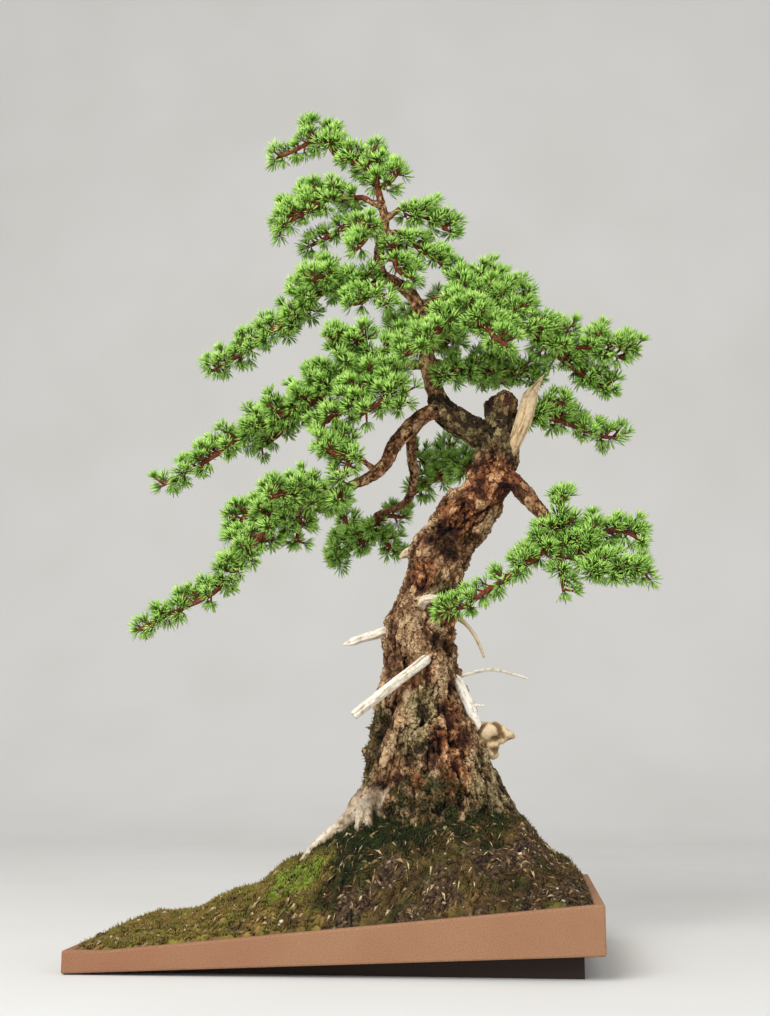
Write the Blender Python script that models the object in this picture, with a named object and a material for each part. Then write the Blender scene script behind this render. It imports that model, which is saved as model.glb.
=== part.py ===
"""Larch bonsai in a sloping stoneware tray: a Blender 4.5 model in metres, +Z up.

The tree is one grown piece of wood, with its roots, limbs and bleached dead stubs. Each leafy branch is a
spray: a slim twig core and rosettes of needles, fused. Every spray meets the cut end of its limb face to face.
Paths are in millimetres from the tray's middle at floor level, as (x, y, z) or (x, y, z, radius).
"""

import math
import random

import bmesh
import bpy
from mathutils import Matrix, Vector, noise

MM = 0.001
TOUCH = 0.0004  # the gap that two touching pieces keep

# Tray: a stoneware wedge on two tapered runner feet
TRAY_WIDTH = 0.480
TRAY_DEPTH = 0.300
TRAY_WALL = 0.009
TRAY_FLOOR = 0.008
TRAY_EDGE_ROUNDING = 0.0018
UNDERSIDE_LEFT = 0.0008
UNDERSIDE_RIGHT = 0.022
RIM_LEFT = 0.021
RIM_RIGHT = 0.0655
RIM_FLAT_END = -0.202
RUNNER_INSET = 0.022
RUNNER_THICKNESS = 0.016
RUNNER_LEFT = -0.212
RUNNER_RIGHT = 0.222
RUNNER_SINK = 0.004
DRAIN_RADIUS = 0.009
DRAIN_PLACES = (-0.090, 0.110)

# Mesh screens that keep the soil off the drain holes
SCREEN_SIZE = 0.034
SCREEN_THICKNESS = 0.0012
SCREEN_HOLES = 3
SCREEN_BAR = 0.0022

# Soil mound: its crest along the tray's middle, as (x, z) in millimetres
CREST = [(-240, 20), (-211, 23), (-175, 30), (-100, 58), (-50, 89), (-20, 110), (15, 132), (60, 141),
         (120, 140), (163, 130), (206, 91), (240, 63)]
SOIL_BELOW_RIM = 0.002
SOIL_CELLS = (23, 14)
SOIL_LUMPS = 0.0035
SOIL_FALL = 2.0

# Trunk and its relief
TRUNK = [(84, 4, 92, 56), (83, 4, 118, 62), (82, 3, 145, 65), (79, 2, 172, 62), (75, 1, 200, 56),
         (73, 0, 222, 49), (71, 0, 243, 43), (69, -2, 284, 34), (71, -3, 322, 32), (84, -2, 361, 28),
         (89, 0, 388, 27.5), (96, 1, 403, 27), (107, 3, 421, 26), (125, 5, 443, 25), (142, 7, 468, 23),
         (151, 8, 495, 19), (156, 9, 521, 17), (155, 10, 545, 15.5), (154, 10, 558, 12), (153, 10, 563, 6)]
TRUNK_RING_STEP = 12.5
TRUNK_SIDES = 6  # as a bevel resolution: sixteen sides
LIMB_RING_STEP = 17
BARK_RELIEF = 0.0042
BARK_RIDGES = (60, 22)  # ridges per metre round the trunk and along it
BARK_KNOBS = 48
BARK_FROM = 0.150  # the relief fades out above the soil, so that the soil's hole is plain
BARK_FULL = 0.185
# Hollows in the trunk's bark: x, y, z, how far each spreads, and its depth, in millimetres
HOLLOWS = [(99, -24, 402, 15, 9), (88, -30, 303, 9, 5), (29, -32, 208, 14, 9), (21, -27, 184, 11, 6)]

LIMBS = {
    "main": [(150, 9, 508, 13), (135, 8, 519, 14.5), (115, 5, 530, 14), (97, 2, 544, 13.5), (87, 0, 562, 9)],
    "leader": [(94, 1, 551, 9), (84, 0, 575, 8.5), (80, -2, 600, 8), (76, -4, 632, 7.4), (70, -6, 658, 6.8),
               (59, -7, 674, 6.4), (45, -8, 684, 6.2), (32, -9, 693, 6), (29, -10, 714, 5.6), (35, -10, 743, 5.2),
               (34, -10, 762, 4.6), (29, -10, 784, 3.6)],
    "first_left": [(94, 0, 545, 9), (76, -3, 539, 8.6), (60, -5, 525, 8), (46, -8, 508, 7.4), (38, -11, 490, 6.8),
                   (24, -16, 474, 6), (-2, -20, 461, 4.8)],
    "inner": [(28, -15, 478, 4), (15, -27, 487, 2.4)],
    "back_left": [(92, 4, 548, 7), (72, 18, 541, 6.4), (60, 33, 527, 5.8), (59, 50, 505, 5.4), (60, 62, 487, 5),
                  (50, 80, 463, 4.2), (18, 95, 453, 3.2)],
    "second_left": [(79, -2, 594, 6), (56, -6, 593, 5), (32, -11, 592, 4)],
    "third_left": [(36, -9, 689, 5), (12, -8, 694, 3.8)],
    "crown_middle": [(77, -4, 626, 6), (94, -15, 640, 4.2)],
    "crown_top": [(70, -6, 654, 5.5), (92, 4, 669, 3.8)],
    "crown_low": [(79, -2, 596, 6), (104, 10, 596, 4)],
    "crown_back": [(77, -3, 636, 6), (80, 24, 650, 4)],
    "upper_left": [(31, -10, 768, 4.2), (14, -11, 777, 2.7)],
    "upper_left_low": [(35, -10, 750, 3.8), (16, -11, 754, 2.3)],
    "upper_right": [(34, -10, 752, 4.2), (52, -8, 765, 2.6)],
    "upper_right_low": [(35, -10, 738, 3.8), (48, -8, 739, 2.2)],
    "right_high": [(156, 12, 536, 5.5), (177, 17, 546, 3.4)],
    "right_low": [(148, 4, 482, 10), (170, -7, 464, 9), (185, -17, 443, 8), (199, -26, 427, 5.6)],
    "back": [(142, 14, 474, 8), (135, 36, 489, 5.6), (128, 52, 495, 4)],
}

ROOTS = [
    [(66, -33, 268, 5), (58, -39, 236, 8), (50, -44, 208, 10), (39, -42, 181, 11), (26, -36, 158, 10.5),
     (13, -34, 143, 10.5), (1, -32, 129, 7.6), (-22, -31, 110, 6.6), (-39, -30, 93, 5), (-50, -28, 76, 3.5)],
    [(18, -36, 144, 6), (13, -44, 124, 4), (9, -53, 104, 3.2), (7, -60, 88, 2.4)],
    [(22, -36, 142, 6), (24, -45, 124, 4), (28, -55, 104, 3.2), (30, -62, 88, 2.4)],
    [(110, 0, 192, 22), (134, -4, 163, 17), (153, -7, 134, 12), (167, -8, 106, 8), (176, -8, 84, 4)],
    [(60, 26, 172, 18), (42, 48, 140, 12), (24, 64, 112, 8), (10, 76, 84, 5)],
    [(104, 26, 172, 18), (124, 46, 140, 13), (140, 62, 110, 8), (151, 74, 82, 5)],
]

DEADWOOD = [
    [(160, 2, 492, 6), (170, -3, 510, 7), (179, -5, 533, 8.4), (186, -5, 556, 7.6), (194, -4, 570, 5.4),
     (202, -3, 582, 1.6)],
    [(52, -6, 320, 6), (30, -10, 312, 4.8), (12, -12, 307, 4.2), (4, -13, 304, 4.2), (-6, -14, 301, 1)],
    [(80, -24, 288, 5.6), (74, -42, 280, 5.4), (44, -54, 256, 5), (10, -62, 229, 4.8)],
    [(72, -22, 336, 5), (78, -36, 343, 4.2), (92, -38, 344, 3.4)],
    [(102, 8, 334, 4), (118, 8, 321, 2.2), (128, 5, 306, 2), (135, 0, 288, 1.3)],
    [(88, 5, 262, 4), (108, 4, 269, 2.4), (140, 0, 276, 2), (165, -4, 271, 1.7), (179, -5, 266, 1)],
    [(88, 2, 262, 4), (106, -3, 266, 3.8), (114, -6, 252, 4), (121, -8, 236, 4), (128, -6, 216, 3.8)],
    [(119, -8, 241, 2.4), (135, -7, 240, 1.2)],
    [(123, -8, 228, 2.4), (111, -15, 217, 1.4)],
    [(108, 0, 200, 9), (126, -1, 206, 11), (140, -2, 213, 12), (151, -3, 212, 9), (158, -4, 210, 5),
     (163, -5, 209, 2)],
    [(138, -2, 208, 8), (143, -4, 196, 6), (143, -5, 190, 3)],
    [(72, 0, 398, 8), (58, -2, 395, 5), (50, -3, 390, 2)],
    [(180, -13, 448, 4.5), (188, -17, 434, 3.4), (193, -18, 424, 1.4)],
    [(50, -14, 270, 5), (36, -18, 264, 2)],
]

# Sprays: for each, its axes, the first of which leaves the limb of the same name. Each axis comes with the
# length of its side twigs at its base and at its tip.
SPRAYS = {
    "apex": [
        ([(29, -10, 784), (26, -11, 802), (23, -12, 818), (21, -12, 828)], 22, 14),
        ([(25, -11, 806), (2, -12, 818), (-17, -13, 828), (-26, -13, 840), (-42, -13, 844),
          (-66, -12, 833), (-82, -12, 827)], 18, 9),
        ([(28, -10, 790), (40, -14, 793), (50, -16, 801)], 14, 10),
        ([(-43, -13, 845), (-44, -13, 853), (-47, -14, 860)], 8, 8),
        ([(-24, -13, 837), (-21, -12, 845), (-20, -11, 853)], 8, 8),
    ],
    "upper_left": [
        ([(14, -11, 777), (-10, -12, 778), (-34, -14, 777), (-56, -17, 770), (-80, -20, 752)], 21, 13),
        ([(-22, -13, 778), (-38, -26, 764), (-58, -34, 748), (-72, -38, 736)], 17, 12),
    ],
    "upper_left_low": [
        ([(16, -11, 754), (-6, -10, 747), (-28, -8, 735), (-50, -6, 726)], 9, 7),
        ([(4, -10, 751), (18, -28, 738), (18, -36, 722), (8, -40, 708)], 16, 10),
    ],
    "upper_right": [([(52, -8, 765), (70, -5, 760), (88, -3, 752), (104, -2, 740)], 24, 14)],
    "upper_right_low": [
        ([(48, -8, 739), (62, -6, 730), (80, -4, 714), (96, -6, 702)], 18, 12),
        ([(54, -7, 736), (46, -18, 714), (50, -22, 692), (70, -26, 678)], 18, 12),
    ],
    "third_left": [
        ([(12, -8, 694), (-7, -6, 693), (-30, -4, 679), (-56, 0, 654), (-85, 4, 639), (-111, 8, 620),
          (-132, 12, 609), (-154, 14, 598)], 34, 12),
        ([(-8, -6, 694), (-20, -24, 690), (-38, -42, 676)], 18, 12),
        ([(-1, -7, 693), (20, -20, 678), (18, -26, 659), (3, -28, 653)], 18, 12),
        ([(20, -20, 678), (32, -26, 665), (39, -30, 652)], 10, 8),
    ],
    "second_left": [
        ([(32, -11, 592), (-1, -16, 584), (-37, -20, 553), (-67, -22, 540), (-91, -22, 529),
          (-113, -21, 514), (-135, -20, 501), (-157, -18, 488), (-178, -16, 478), (-198, -14, 467)], 38, 10),
        ([(22, -14, 590), (18, -22, 608), (4, -28, 616), (-14, -30, 614)], 24, 16),
        ([(-6, -16, 582), (-20, 10, 584), (-38, 34, 577)], 20, 14),
        ([(20, -13, 590), (24, -34, 568), (8, -44, 548), (-6, -46, 532), (-26, -48, 520)], 24, 16),
        ([(22, -14, 589), (46, -28, 574), (46, -40, 556), (32, -46, 541), (16, -48, 530)], 20, 15),
        ([(-48, -21, 553), (-62, -8, 538), (-78, -2, 522), (-98, 2, 508)], 18, 12),
        ([(19, -15, 598), (42, -19, 608), (55, -22, 619)], 14, 10),
        ([(46, -28, 574), (58, -34, 557), (53, -40, 538)], 14, 10),
    ],
    "first_left": [
        ([(-2, -20, 461), (-33, -24, 450), (-59, -28, 435), (-84, -31, 416), (-102, -34, 393),
          (-116, -35, 372), (-137, -37, 351), (-163, -38, 338), (-189, -39, 326), (-210, -40, 315)], 36, 9),
        ([(-36, -25, 450), (-54, -50, 452), (-74, -66, 442)], 20, 14),
        ([(-52, -27, 439), (-52, -14, 425), (-57, -4, 408)], 16, 12),
        ([(-65, -29, 431), (-89, -14, 439), (-114, -4, 432), (-129, 2, 418)], 20, 13),
    ],
    "inner": [
        ([(15, -27, 487), (2, -33, 497), (-9, -36, 506)], 24, 14),
        ([(6, -31, 493), (-8, -44, 490), (-26, -50, 498)], 18, 12),
        ([(6, -31, 493), (-1, -36, 478), (-5, -40, 465)], 12, 9),
    ],
    "back_left": [
        ([(18, 95, 453), (3, 105, 430), (-16, 115, 416), (-35, 120, 406)], 30, 18),
        ([(11, 100, 442), (22, 108, 428), (34, 110, 412)], 16, 12),
        ([(3, 105, 430), (-13, 112, 441), (-24, 116, 452)], 14, 10),
        ([(9, 101, 440), (24, 104, 452), (45, 110, 451)], 14, 10),
    ],
    "crown_middle": [
        ([(94, -15, 640), (126, -26, 646), (156, -28, 640), (182, -20, 627), (208, -10, 612),
          (232, -3, 608), (256, 0, 607), (282, 0, 595)], 36, 22),
        ([(112, -22, 645), (128, -44, 630), (148, -58, 608), (164, -64, 592)], 26, 14),
        ([(104, -19, 642), (98, -42, 622), (82, -56, 602), (60, -60, 586)], 22, 16),
        ([(196, -15, 620), (218, 8, 601), (246, 18, 582), (272, 22, 568)], 20, 14),
    ],
    "crown_top": [([(92, 4, 669), (125, 12, 685), (156, 17, 683), (185, 19, 668)], 30, 20)],
    "crown_low": [
        ([(104, 10, 596), (134, 24, 592), (166, 30, 594), (192, 30, 584)], 26, 18),
        ([(134, 24, 592), (146, 50, 598), (160, 74, 594)], 22, 14),
        ([(112, 14, 595), (110, -6, 586), (100, -16, 574)], 16, 12),
    ],
    "crown_back": [
        ([(80, 24, 650), (86, 55, 657), (92, 88, 652), (96, 112, 642)], 36, 22),
        ([(85, 50, 656), (62, 72, 664), (40, 88, 660)], 24, 14),
    ],
    "right_high": [
        ([(177, 17, 546), (196, 22, 543), (218, 30, 538), (241, 35, 529), (263, 40, 522),
          (280, 45, 523)], 20, 12),
        ([(189, 20, 545), (203, 14, 551), (219, 12, 553)], 12, 9),
    ],
    "right_low": [
        ([(199, -26, 427), (212, -36, 410), (226, -42, 392), (250, -48, 376), (272, -50, 364),
          (295, -50, 365)], 28, 13),
        ([(208, -33, 415), (215, -40, 430), (214, -44, 442)], 16, 10),
        ([(228, -43, 392), (250, -38, 407), (273, -38, 409), (291, -42, 398)], 20, 12),
        ([(210, -35, 411), (193, -52, 385), (175, -60, 372), (158, -63, 359), (137, -66, 346),
          (118, -69, 332), (96, -72, 329)], 15, 9),
        ([(238, -45, 384), (244, -54, 365)], 14, 10),
        ([(214, -37, 408), (210, -46, 388), (212, -48, 368), (214, -50, 348)], 13, 10),
    ],
    "back": [
        ([(128, 52, 495), (115, 74, 500), (98, 96, 500), (78, 112, 492), (56, 122, 480)], 22, 16),
        ([(91, 102, 498), (92, 108, 516), (97, 112, 531)], 14, 10),
        ([(78, 112, 492), (67, 124, 515), (58, 132, 534)], 14, 10),
    ],
}
TWIG_EVERY = 48
TWIG_RADIUS = 1.5
AXIS_BARE = 0.5  # the share of an axis, from its base, that is a plain woody core
ROSETTE_EVERY = 32
ROSETTE_LENGTH = 2.6
CORE_STEP = 34
SEAT_LENGTH = 2.5  # the core leaves its limb in line with it for this far
FORK_RADIUS = 2.2
FORK_LEAD = (2.2, 8)  # how far off its parent's core a fork's base may lie to be drawn back onto it
NEEDLE = 15.5
REAR_LEAN = 0.0
FRONT_LEAN = 0.95
SIDES = 3
CLEARANCE = 1.5
SEED = 11

BARK = (0.23, 0.12, 0.07, 1)
NEEDLE_GREEN = (0.24, 0.50, 0.10, 1)
STONEWARE = (0.38, 0.21, 0.13, 1)
EARTH = (0.09, 0.06, 0.03, 1)
SCREEN_BLACK = (0.02, 0.02, 0.02, 1)


def material(name, colour, roughness):
    made = bpy.data.materials.new(name)
    made.use_nodes = True
    shader = made.node_tree.nodes["Principled BSDF"]
    shader.inputs["Base Color"].default_value = colour
    shader.inputs["Roughness"].default_value = roughness
    shader.inputs["Metallic"].default_value = 0
    return made


def collection(name):
    made = bpy.data.collections.new(name)
    bpy.context.scene.collection.children.link(made)
    return made


def add_object(name, mesh, home):
    obj = bpy.data.objects.new(name, mesh)
    home.objects.link(obj)
    return obj


def smooth_path(points, step):
    """A Catmull-Rom curve through the points, sampled about every step; each point holds any count of numbers."""
    ends = [points[0], *points, points[-1]]
    path = []
    for i in range(len(points) - 1):
        a, b, c, d = ends[i : i + 4]
        pieces = max(1, round(math.dist(b[:3], c[:3]) / step))
        for n in range(pieces):
            t = n / pieces
            path.append(tuple(
                0.5 * (2 * q + (r - p) * t + (2 * p - 5 * q + 4 * r - s) * t * t + (3 * q - p - 3 * r + s) * t**3)
                for p, q, r, s in zip(a, b, c, d)
            ))
    path.append(tuple(points[-1]))
    return path


def tube(name, path, home, bevel_resolution=1, grow=0.0):
    """A closed mesh round a path of (x, y, z, radius) in millimetres; grow adds to the radius, in metres."""
    curve = bpy.data.curves.new(name, "CURVE")
    curve.dimensions = "3D"
    curve.bevel_depth = 1
    curve.bevel_resolution = bevel_resolution
    curve.use_fill_caps = True
    spline = curve.splines.new("POLY")
    spline.points.add(len(path) - 1)
    for point, (x, y, z, radius) in zip(spline.points, path):
        point.co = (x * MM, y * MM, z * MM, 1)
        point.radius = radius * MM + grow
    rough = add_object(name, curve, home)
    mesh = bpy.data.meshes.new_from_object(rough.evaluated_get(bpy.context.evaluated_depsgraph_get()))
    bpy.data.objects.remove(rough)
    bpy.data.curves.remove(curve)
    edit = bmesh.new()
    edit.from_mesh(mesh)
    bmesh.ops.remove_doubles(edit, verts=edit.verts, dist=1e-6)
    bmesh.ops.recalc_face_normals(edit, faces=edit.faces)
    edit.to_mesh(mesh)
    edit.free()
    return add_object(name, mesh, home)


def boolean(obj, operation, other):
    cut = obj.modifiers.new(operation.title(), "BOOLEAN")
    cut.operation = operation
    if isinstance(other, bpy.types.Collection):
        cut.operand_type = "COLLECTION"
        cut.collection = other
    else:
        cut.object = other
    return cut


def apply_modifiers(obj):
    mesh = bpy.data.meshes.new_from_object(obj.evaluated_get(bpy.context.evaluated_depsgraph_get()))
    obj.modifiers.clear()
    obj.data = mesh


def fuse(host, pieces):
    """Joins every object of the collection into host, then removes them and their collection."""
    union = boolean(host, "UNION", pieces)
    union.solver = "MANIFOLD"
    apply_modifiers(host)
    for obj in list(pieces.objects):
        bpy.data.objects.remove(obj)
    bpy.data.collections.remove(pieces)


def finish(obj, name, look, angle=40):
    obj.name = name
    obj.data.name = name
    obj.data.materials.clear()
    obj.data.materials.append(look)
    obj.data.shade_smooth()
    obj.data.set_sharp_from_angle(angle=math.radians(angle))
    return obj


def helper(obj):
    obj.hide_render = True
    obj.display_type = "WIRE"
    return obj


# Tray

def slope(x, left, right):
    """Height at x of a straight line from the tray's left end to its right end."""
    return left + (right - left) * (x / TRAY_WIDTH + 0.5)


def underside(x):
    return slope(x, UNDERSIDE_LEFT, UNDERSIDE_RIGHT)


def tray_floor(x):
    return underside(x) + TRAY_FLOOR


def rim(x):
    share = (x - RIM_FLAT_END) / (TRAY_WIDTH / 2 - RIM_FLAT_END)
    return RIM_LEFT + (RIM_RIGHT - RIM_LEFT) * max(0.0, share)


def prism(name, outline, thickness, y, home):
    """An outline of (x, z) points, made solid across the depth and centred on y."""
    curve = bpy.data.curves.new(name, "CURVE")
    curve.dimensions = "2D"
    curve.fill_mode = "BOTH"
    curve.extrude = thickness / 2
    spline = curve.splines.new("POLY")
    spline.points.add(len(outline) - 1)
    for point, (x, z) in zip(spline.points, outline):
        point.co = (x, z, 0, 1)
    spline.use_cyclic_u = True
    rough = add_object(name, curve, home)
    mesh = bpy.data.meshes.new_from_object(rough.evaluated_get(bpy.context.evaluated_depsgraph_get()))
    bpy.data.objects.remove(rough)
    bpy.data.curves.remove(curve)
    edit = bmesh.new()
    edit.from_mesh(mesh)
    bmesh.ops.remove_doubles(edit, verts=edit.verts, dist=1e-6)
    bmesh.ops.dissolve_limit(edit, angle_limit=0.001, verts=edit.verts, edges=edit.edges)
    bmesh.ops.transform(edit, matrix=Matrix.Rotation(math.radians(90), 4, "X"), verts=edit.verts)
    bmesh.ops.translate(edit, vec=(0, y, 0), verts=edit.verts)
    bmesh.ops.recalc_face_normals(edit, faces=edit.faces)
    edit.to_mesh(mesh)
    edit.free()
    return add_object(name, mesh, home)


def drain_hole(x, cutters):
    edit = bmesh.new()
    bmesh.ops.create_cone(
        edit, cap_ends=True, segments=24, radius1=DRAIN_RADIUS, radius2=DRAIN_RADIUS, depth=4 * TRAY_FLOOR
    )
    mesh = bpy.data.meshes.new("drain")
    bmesh.ops.translate(edit, vec=(x, 0, underside(x)), verts=edit.verts)
    edit.to_mesh(mesh)
    edit.free()
    return helper(add_object("drain_cutter", mesh, cutters))


def round_outer_edges(tray):
    """Softens every edge that stands proud; the inner corners, which hold the soil, stay sharp."""
    edit = bmesh.new()
    edit.from_mesh(tray.data)
    proud = [edge for edge in edit.edges if edge.is_convex and edge.calc_face_angle() > math.radians(30)]
    bmesh.ops.bevel(edit, geom=proud, offset=TRAY_EDGE_ROUNDING, segments=2, profile=0.5, affect="EDGES")
    edit.to_mesh(tray.data)
    edit.free()


def make_tray(home, cutters, look):
    half = TRAY_WIDTH / 2
    tray = prism("tray", [(-half, underside(-half)), (half, underside(half)), (half, rim(half)),
                          (RIM_FLAT_END, rim(RIM_FLAT_END)), (-half, rim(-half))], TRAY_DEPTH, 0, home)
    inside = half - TRAY_WALL
    above = 2 * RIM_RIGHT
    cavity = prism("cavity", [(-inside, tray_floor(-inside)), (inside, tray_floor(inside)), (inside, above),
                              (-inside, above)], TRAY_DEPTH - 2 * TRAY_WALL, 0, cutters)
    boolean(tray, "DIFFERENCE", helper(cavity))
    apply_modifiers(tray)
    round_outer_edges(tray)
    feet = collection("feet")
    for side in (-1, 1):
        prism("runner", [(RUNNER_LEFT, 0), (RUNNER_RIGHT, 0), (RUNNER_RIGHT, underside(RUNNER_RIGHT) + RUNNER_SINK),
                         (RUNNER_LEFT, underside(RUNNER_LEFT) + RUNNER_SINK)], RUNNER_THICKNESS,
              side * (TRAY_DEPTH / 2 - RUNNER_INSET - RUNNER_THICKNESS / 2), feet)
    fuse(tray, feet)
    for x in DRAIN_PLACES:
        boolean(tray, "DIFFERENCE", drain_hole(x, cutters))
    return finish(tray, "tray", look, 35)


def tilted_block(name, x, size, thickness, lift, home):
    """A flat block on the tray's sloping floor, lifted clear of it."""
    edit = bmesh.new()
    bmesh.ops.create_cube(edit, size=1)
    bmesh.ops.scale(edit, vec=(size, size, thickness), verts=edit.verts)
    mesh = bpy.data.meshes.new(name)
    edit.to_mesh(mesh)
    edit.free()
    obj = add_object(name, mesh, home)
    obj.location = (x, 0, tray_floor(x) + lift + thickness / 2)
    obj.rotation_euler = (0, -math.atan2(UNDERSIDE_RIGHT - UNDERSIDE_LEFT, TRAY_WIDTH), 0)
    return obj


def make_screen(number, x, home, look):
    """A square of plastic mesh: a plate with a grid of square holes."""
    screen = tilted_block(f"drain_screen_{number}", x, SCREEN_SIZE, SCREEN_THICKNESS, TOUCH, home)
    edit = bmesh.new()
    pitch = (SCREEN_SIZE - SCREEN_BAR) / SCREEN_HOLES
    middle = (SCREEN_HOLES - 1) / 2
    for i in range(SCREEN_HOLES):
        for j in range(SCREEN_HOLES):
            corner = bmesh.ops.create_cube(edit, size=pitch - SCREEN_BAR)["verts"]
            bmesh.ops.translate(edit, vec=((i - middle) * pitch, (j - middle) * pitch, 0), verts=corner)
    mesh = bpy.data.meshes.new("screen_holes")
    edit.to_mesh(mesh)
    edit.free()
    holes = add_object("screen_holes", mesh, home)
    holes.matrix_world = Matrix.LocRotScale(screen.location, screen.rotation_euler, None)
    bpy.context.view_layer.update()
    boolean(screen, "DIFFERENCE", holes)
    apply_modifiers(screen)
    bpy.data.objects.remove(holes)
    return finish(screen, screen.name, look)


# Soil

def crest(x):
    """Height of the mound's crest at x, in metres."""
    xs = [p[0] * MM for p in CREST]
    for (x0, z0), (x1, z1) in zip(CREST, CREST[1:]):
        if x <= x1 * MM:
            share = min(1.0, max(0.0, (x - x0 * MM) / ((x1 - x0) * MM)))
            return (z0 + (z1 - z0) * (3 - 2 * share) * share * share) * MM
    return CREST[-1][1] * MM + 0 * xs[0]


def soil_top(x, y):
    edge = rim(x) - SOIL_BELOW_RIM
    reach = TRAY_DEPTH / 2 - TRAY_WALL
    across = min(1.0, abs(y) / reach)
    fall = 1 - across**SOIL_FALL
    end = min(1.0, (TRAY_WIDTH / 2 - TRAY_WALL - abs(x)) / 0.02)
    lumps = SOIL_LUMPS * noise.noise(Vector((x, y, 0)) * 45) * min(1.0, 4 * (1 - across)) * max(0.0, end)
    return edge + max(0.0, crest(x) - edge) * fall + lumps


def make_soil(home, look):
    width, depth = TRAY_WIDTH - 2 * TRAY_WALL - 2 * TOUCH, TRAY_DEPTH - 2 * TRAY_WALL - 2 * TOUCH
    edit = bmesh.new()
    bmesh.ops.create_grid(edit, x_segments=SOIL_CELLS[0], y_segments=SOIL_CELLS[1], size=0.5)
    bmesh.ops.scale(edit, vec=(width, depth, 1), verts=edit.verts)
    for vert in edit.verts:
        vert.co.z = soil_top(vert.co.x, vert.co.y)
    top = list(edit.faces)
    lower = bmesh.ops.extrude_face_region(edit, geom=top, use_keep_orig=True)["geom"]
    for vert in (item for item in lower if isinstance(item, bmesh.types.BMVert)):
        vert.co.z = tray_floor(vert.co.x) + TOUCH
    flat = [item for item in lower if isinstance(item, bmesh.types.BMFace)]
    bmesh.ops.recalc_face_normals(edit, faces=edit.faces)
    inner = {edge for face in flat for edge in face.edges if all(f in flat for f in edge.link_faces)}
    bmesh.ops.dissolve_edges(edit, edges=list(inner), use_verts=True)
    mesh = bpy.data.meshes.new("soil")
    edit.to_mesh(mesh)
    edit.free()
    return finish(add_object("soil", mesh, home), "soil", look, 60)


# Wood

def bark_relief(point):
    """Long plates with furrows between them and a few deep hollows, as a height in metres."""
    across, up = BARK_RIDGES
    ridges = noise.noise(Vector((point.x * across, point.y * across, point.z * up)))
    knobs = noise.noise(point * BARK_KNOBS)
    fade = min(1.0, max(0.0, (point.z - BARK_FROM) / (BARK_FULL - BARK_FROM)))
    relief = BARK_RELIEF * fade * (1.5 * ridges + knobs)
    for x, y, z, spread, depth in HOLLOWS:
        relief -= depth * MM * math.exp(-(((point / MM - Vector((x, y, z))).length / spread) ** 2))
    return relief


def underground():
    """The trunk's foot and the roots, which stand in plain holes in the soil."""
    foot = [point for point in smooth_path(TRUNK, TRUNK_RING_STEP) if point[2] < 1.05 * BARK_FROM / MM]
    return [foot, *(smooth_path(root, LIMB_RING_STEP) for root in ROOTS)]


def sides(radius):
    """The bevel resolution for a limb of this radius in millimetres."""
    return 0 if radius < 4 else 1 if radius < 9 else 2


def make_tree(home, look):
    tree = tube("tree", smooth_path(TRUNK, TRUNK_RING_STEP), home, bevel_resolution=TRUNK_SIDES)
    for vert in tree.data.vertices:
        vert.co += vert.normal * bark_relief(vert.co)
    wood = collection("wood")
    for path in [*LIMBS.values(), *ROOTS, *DEADWOOD]:
        tube("limb", smooth_path(path, LIMB_RING_STEP), wood, bevel_resolution=sides(path[0][3]))
    fuse(tree, wood)
    return finish(tree, "tree", look, 55)


def stretched(path, extra):
    """The path with both ends moved outwards by extra, in line with their first and last pieces."""
    path = list(path)
    for end, inner in ((0, 1), (-1, -2)):
        way = (Vector(path[end][:3]) - Vector(path[inner][:3])).normalized()
        path[end] = (*(Vector(path[end][:3]) + way * extra), path[end][3])
    return path


def dig_holes(soil, cutters):
    for number, path in enumerate(underground()):
        bevel = TRUNK_SIDES if number == 0 else sides(path[0][3])
        hole = tube("hole", stretched(path, TOUCH / MM), cutters, bevel, grow=TOUCH)
        boolean(soil, "DIFFERENCE", helper(hole)).solver = "MANIFOLD"


# Sprays

def along(path, distance):
    """The point and the direction at a distance along a path of (x, y, z), in millimetres."""
    for a, b in zip(path, path[1:]):
        length = math.dist(a, b)
        if distance <= length:
            return Vector(a).lerp(Vector(b), distance / length), (Vector(b) - Vector(a)).normalized()
        distance -= length
    return Vector(path[-1]), (Vector(path[-1]) - Vector(path[-2])).normalized()


def path_length(path):
    return sum(math.dist(a, b) for a, b in zip(path, path[1:]))


def around(direction, roll):
    """A unit vector square to direction, turned by roll: 0 is level, a quarter turn is up."""
    level = direction.cross(Vector((0, 0, 1)))
    level = level.normalized() if level.length > 0.05 else Vector((1, 0, 0))
    return level * math.cos(roll) + level.cross(direction).normalized() * math.sin(roll)


def side_twigs(axis, base_reach, tip_reach, rng):
    """Twigs on all sides of an axis but straight below it, shorter towards its tip."""
    length = path_length(axis)
    twigs = []
    for number in range(int((length - 12) / TWIG_EVERY) + 1):
        at = 12 + number * TWIG_EVERY
        start, forward = along(axis, at)
        share = (number * 0.618 + rng.uniform(-0.06, 0.06)) % 1
        roll = math.radians(-62 + 304 * share)
        out = around(forward, roll)
        reach = (base_reach + (tip_reach - base_reach) * (at / length) ** 0.8) * rng.uniform(0.8, 1.1)
        reach *= 0.88 + 0.22 * math.sin(roll)
        first = (out * 0.85 + forward * 0.45).normalized()
        last = (first + Vector((0, 0, 0.2))).normalized()
        middle = start + first * reach * 0.5
        twigs.append([tuple(start), tuple(middle), tuple(middle + last * reach * 0.5)])
    return twigs


def rosette_places(length, bare):
    """Distances along a shoot at which needles grow, the last at its tip and none on its bare base."""
    count = int((length - bare) / ROSETTE_EVERY) + 1
    return [length - ROSETTE_LENGTH / 2 - n * ROSETTE_EVERY for n in reversed(range(count))]


def bends(path, share):
    """The points of a path past a share of its length, each with its distance from the path's start."""
    places = [path_length(path[: n + 1]) for n in range(len(path))]
    return [(place, point) for place, point in zip(places, path) if place > share * places[-1]]


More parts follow.
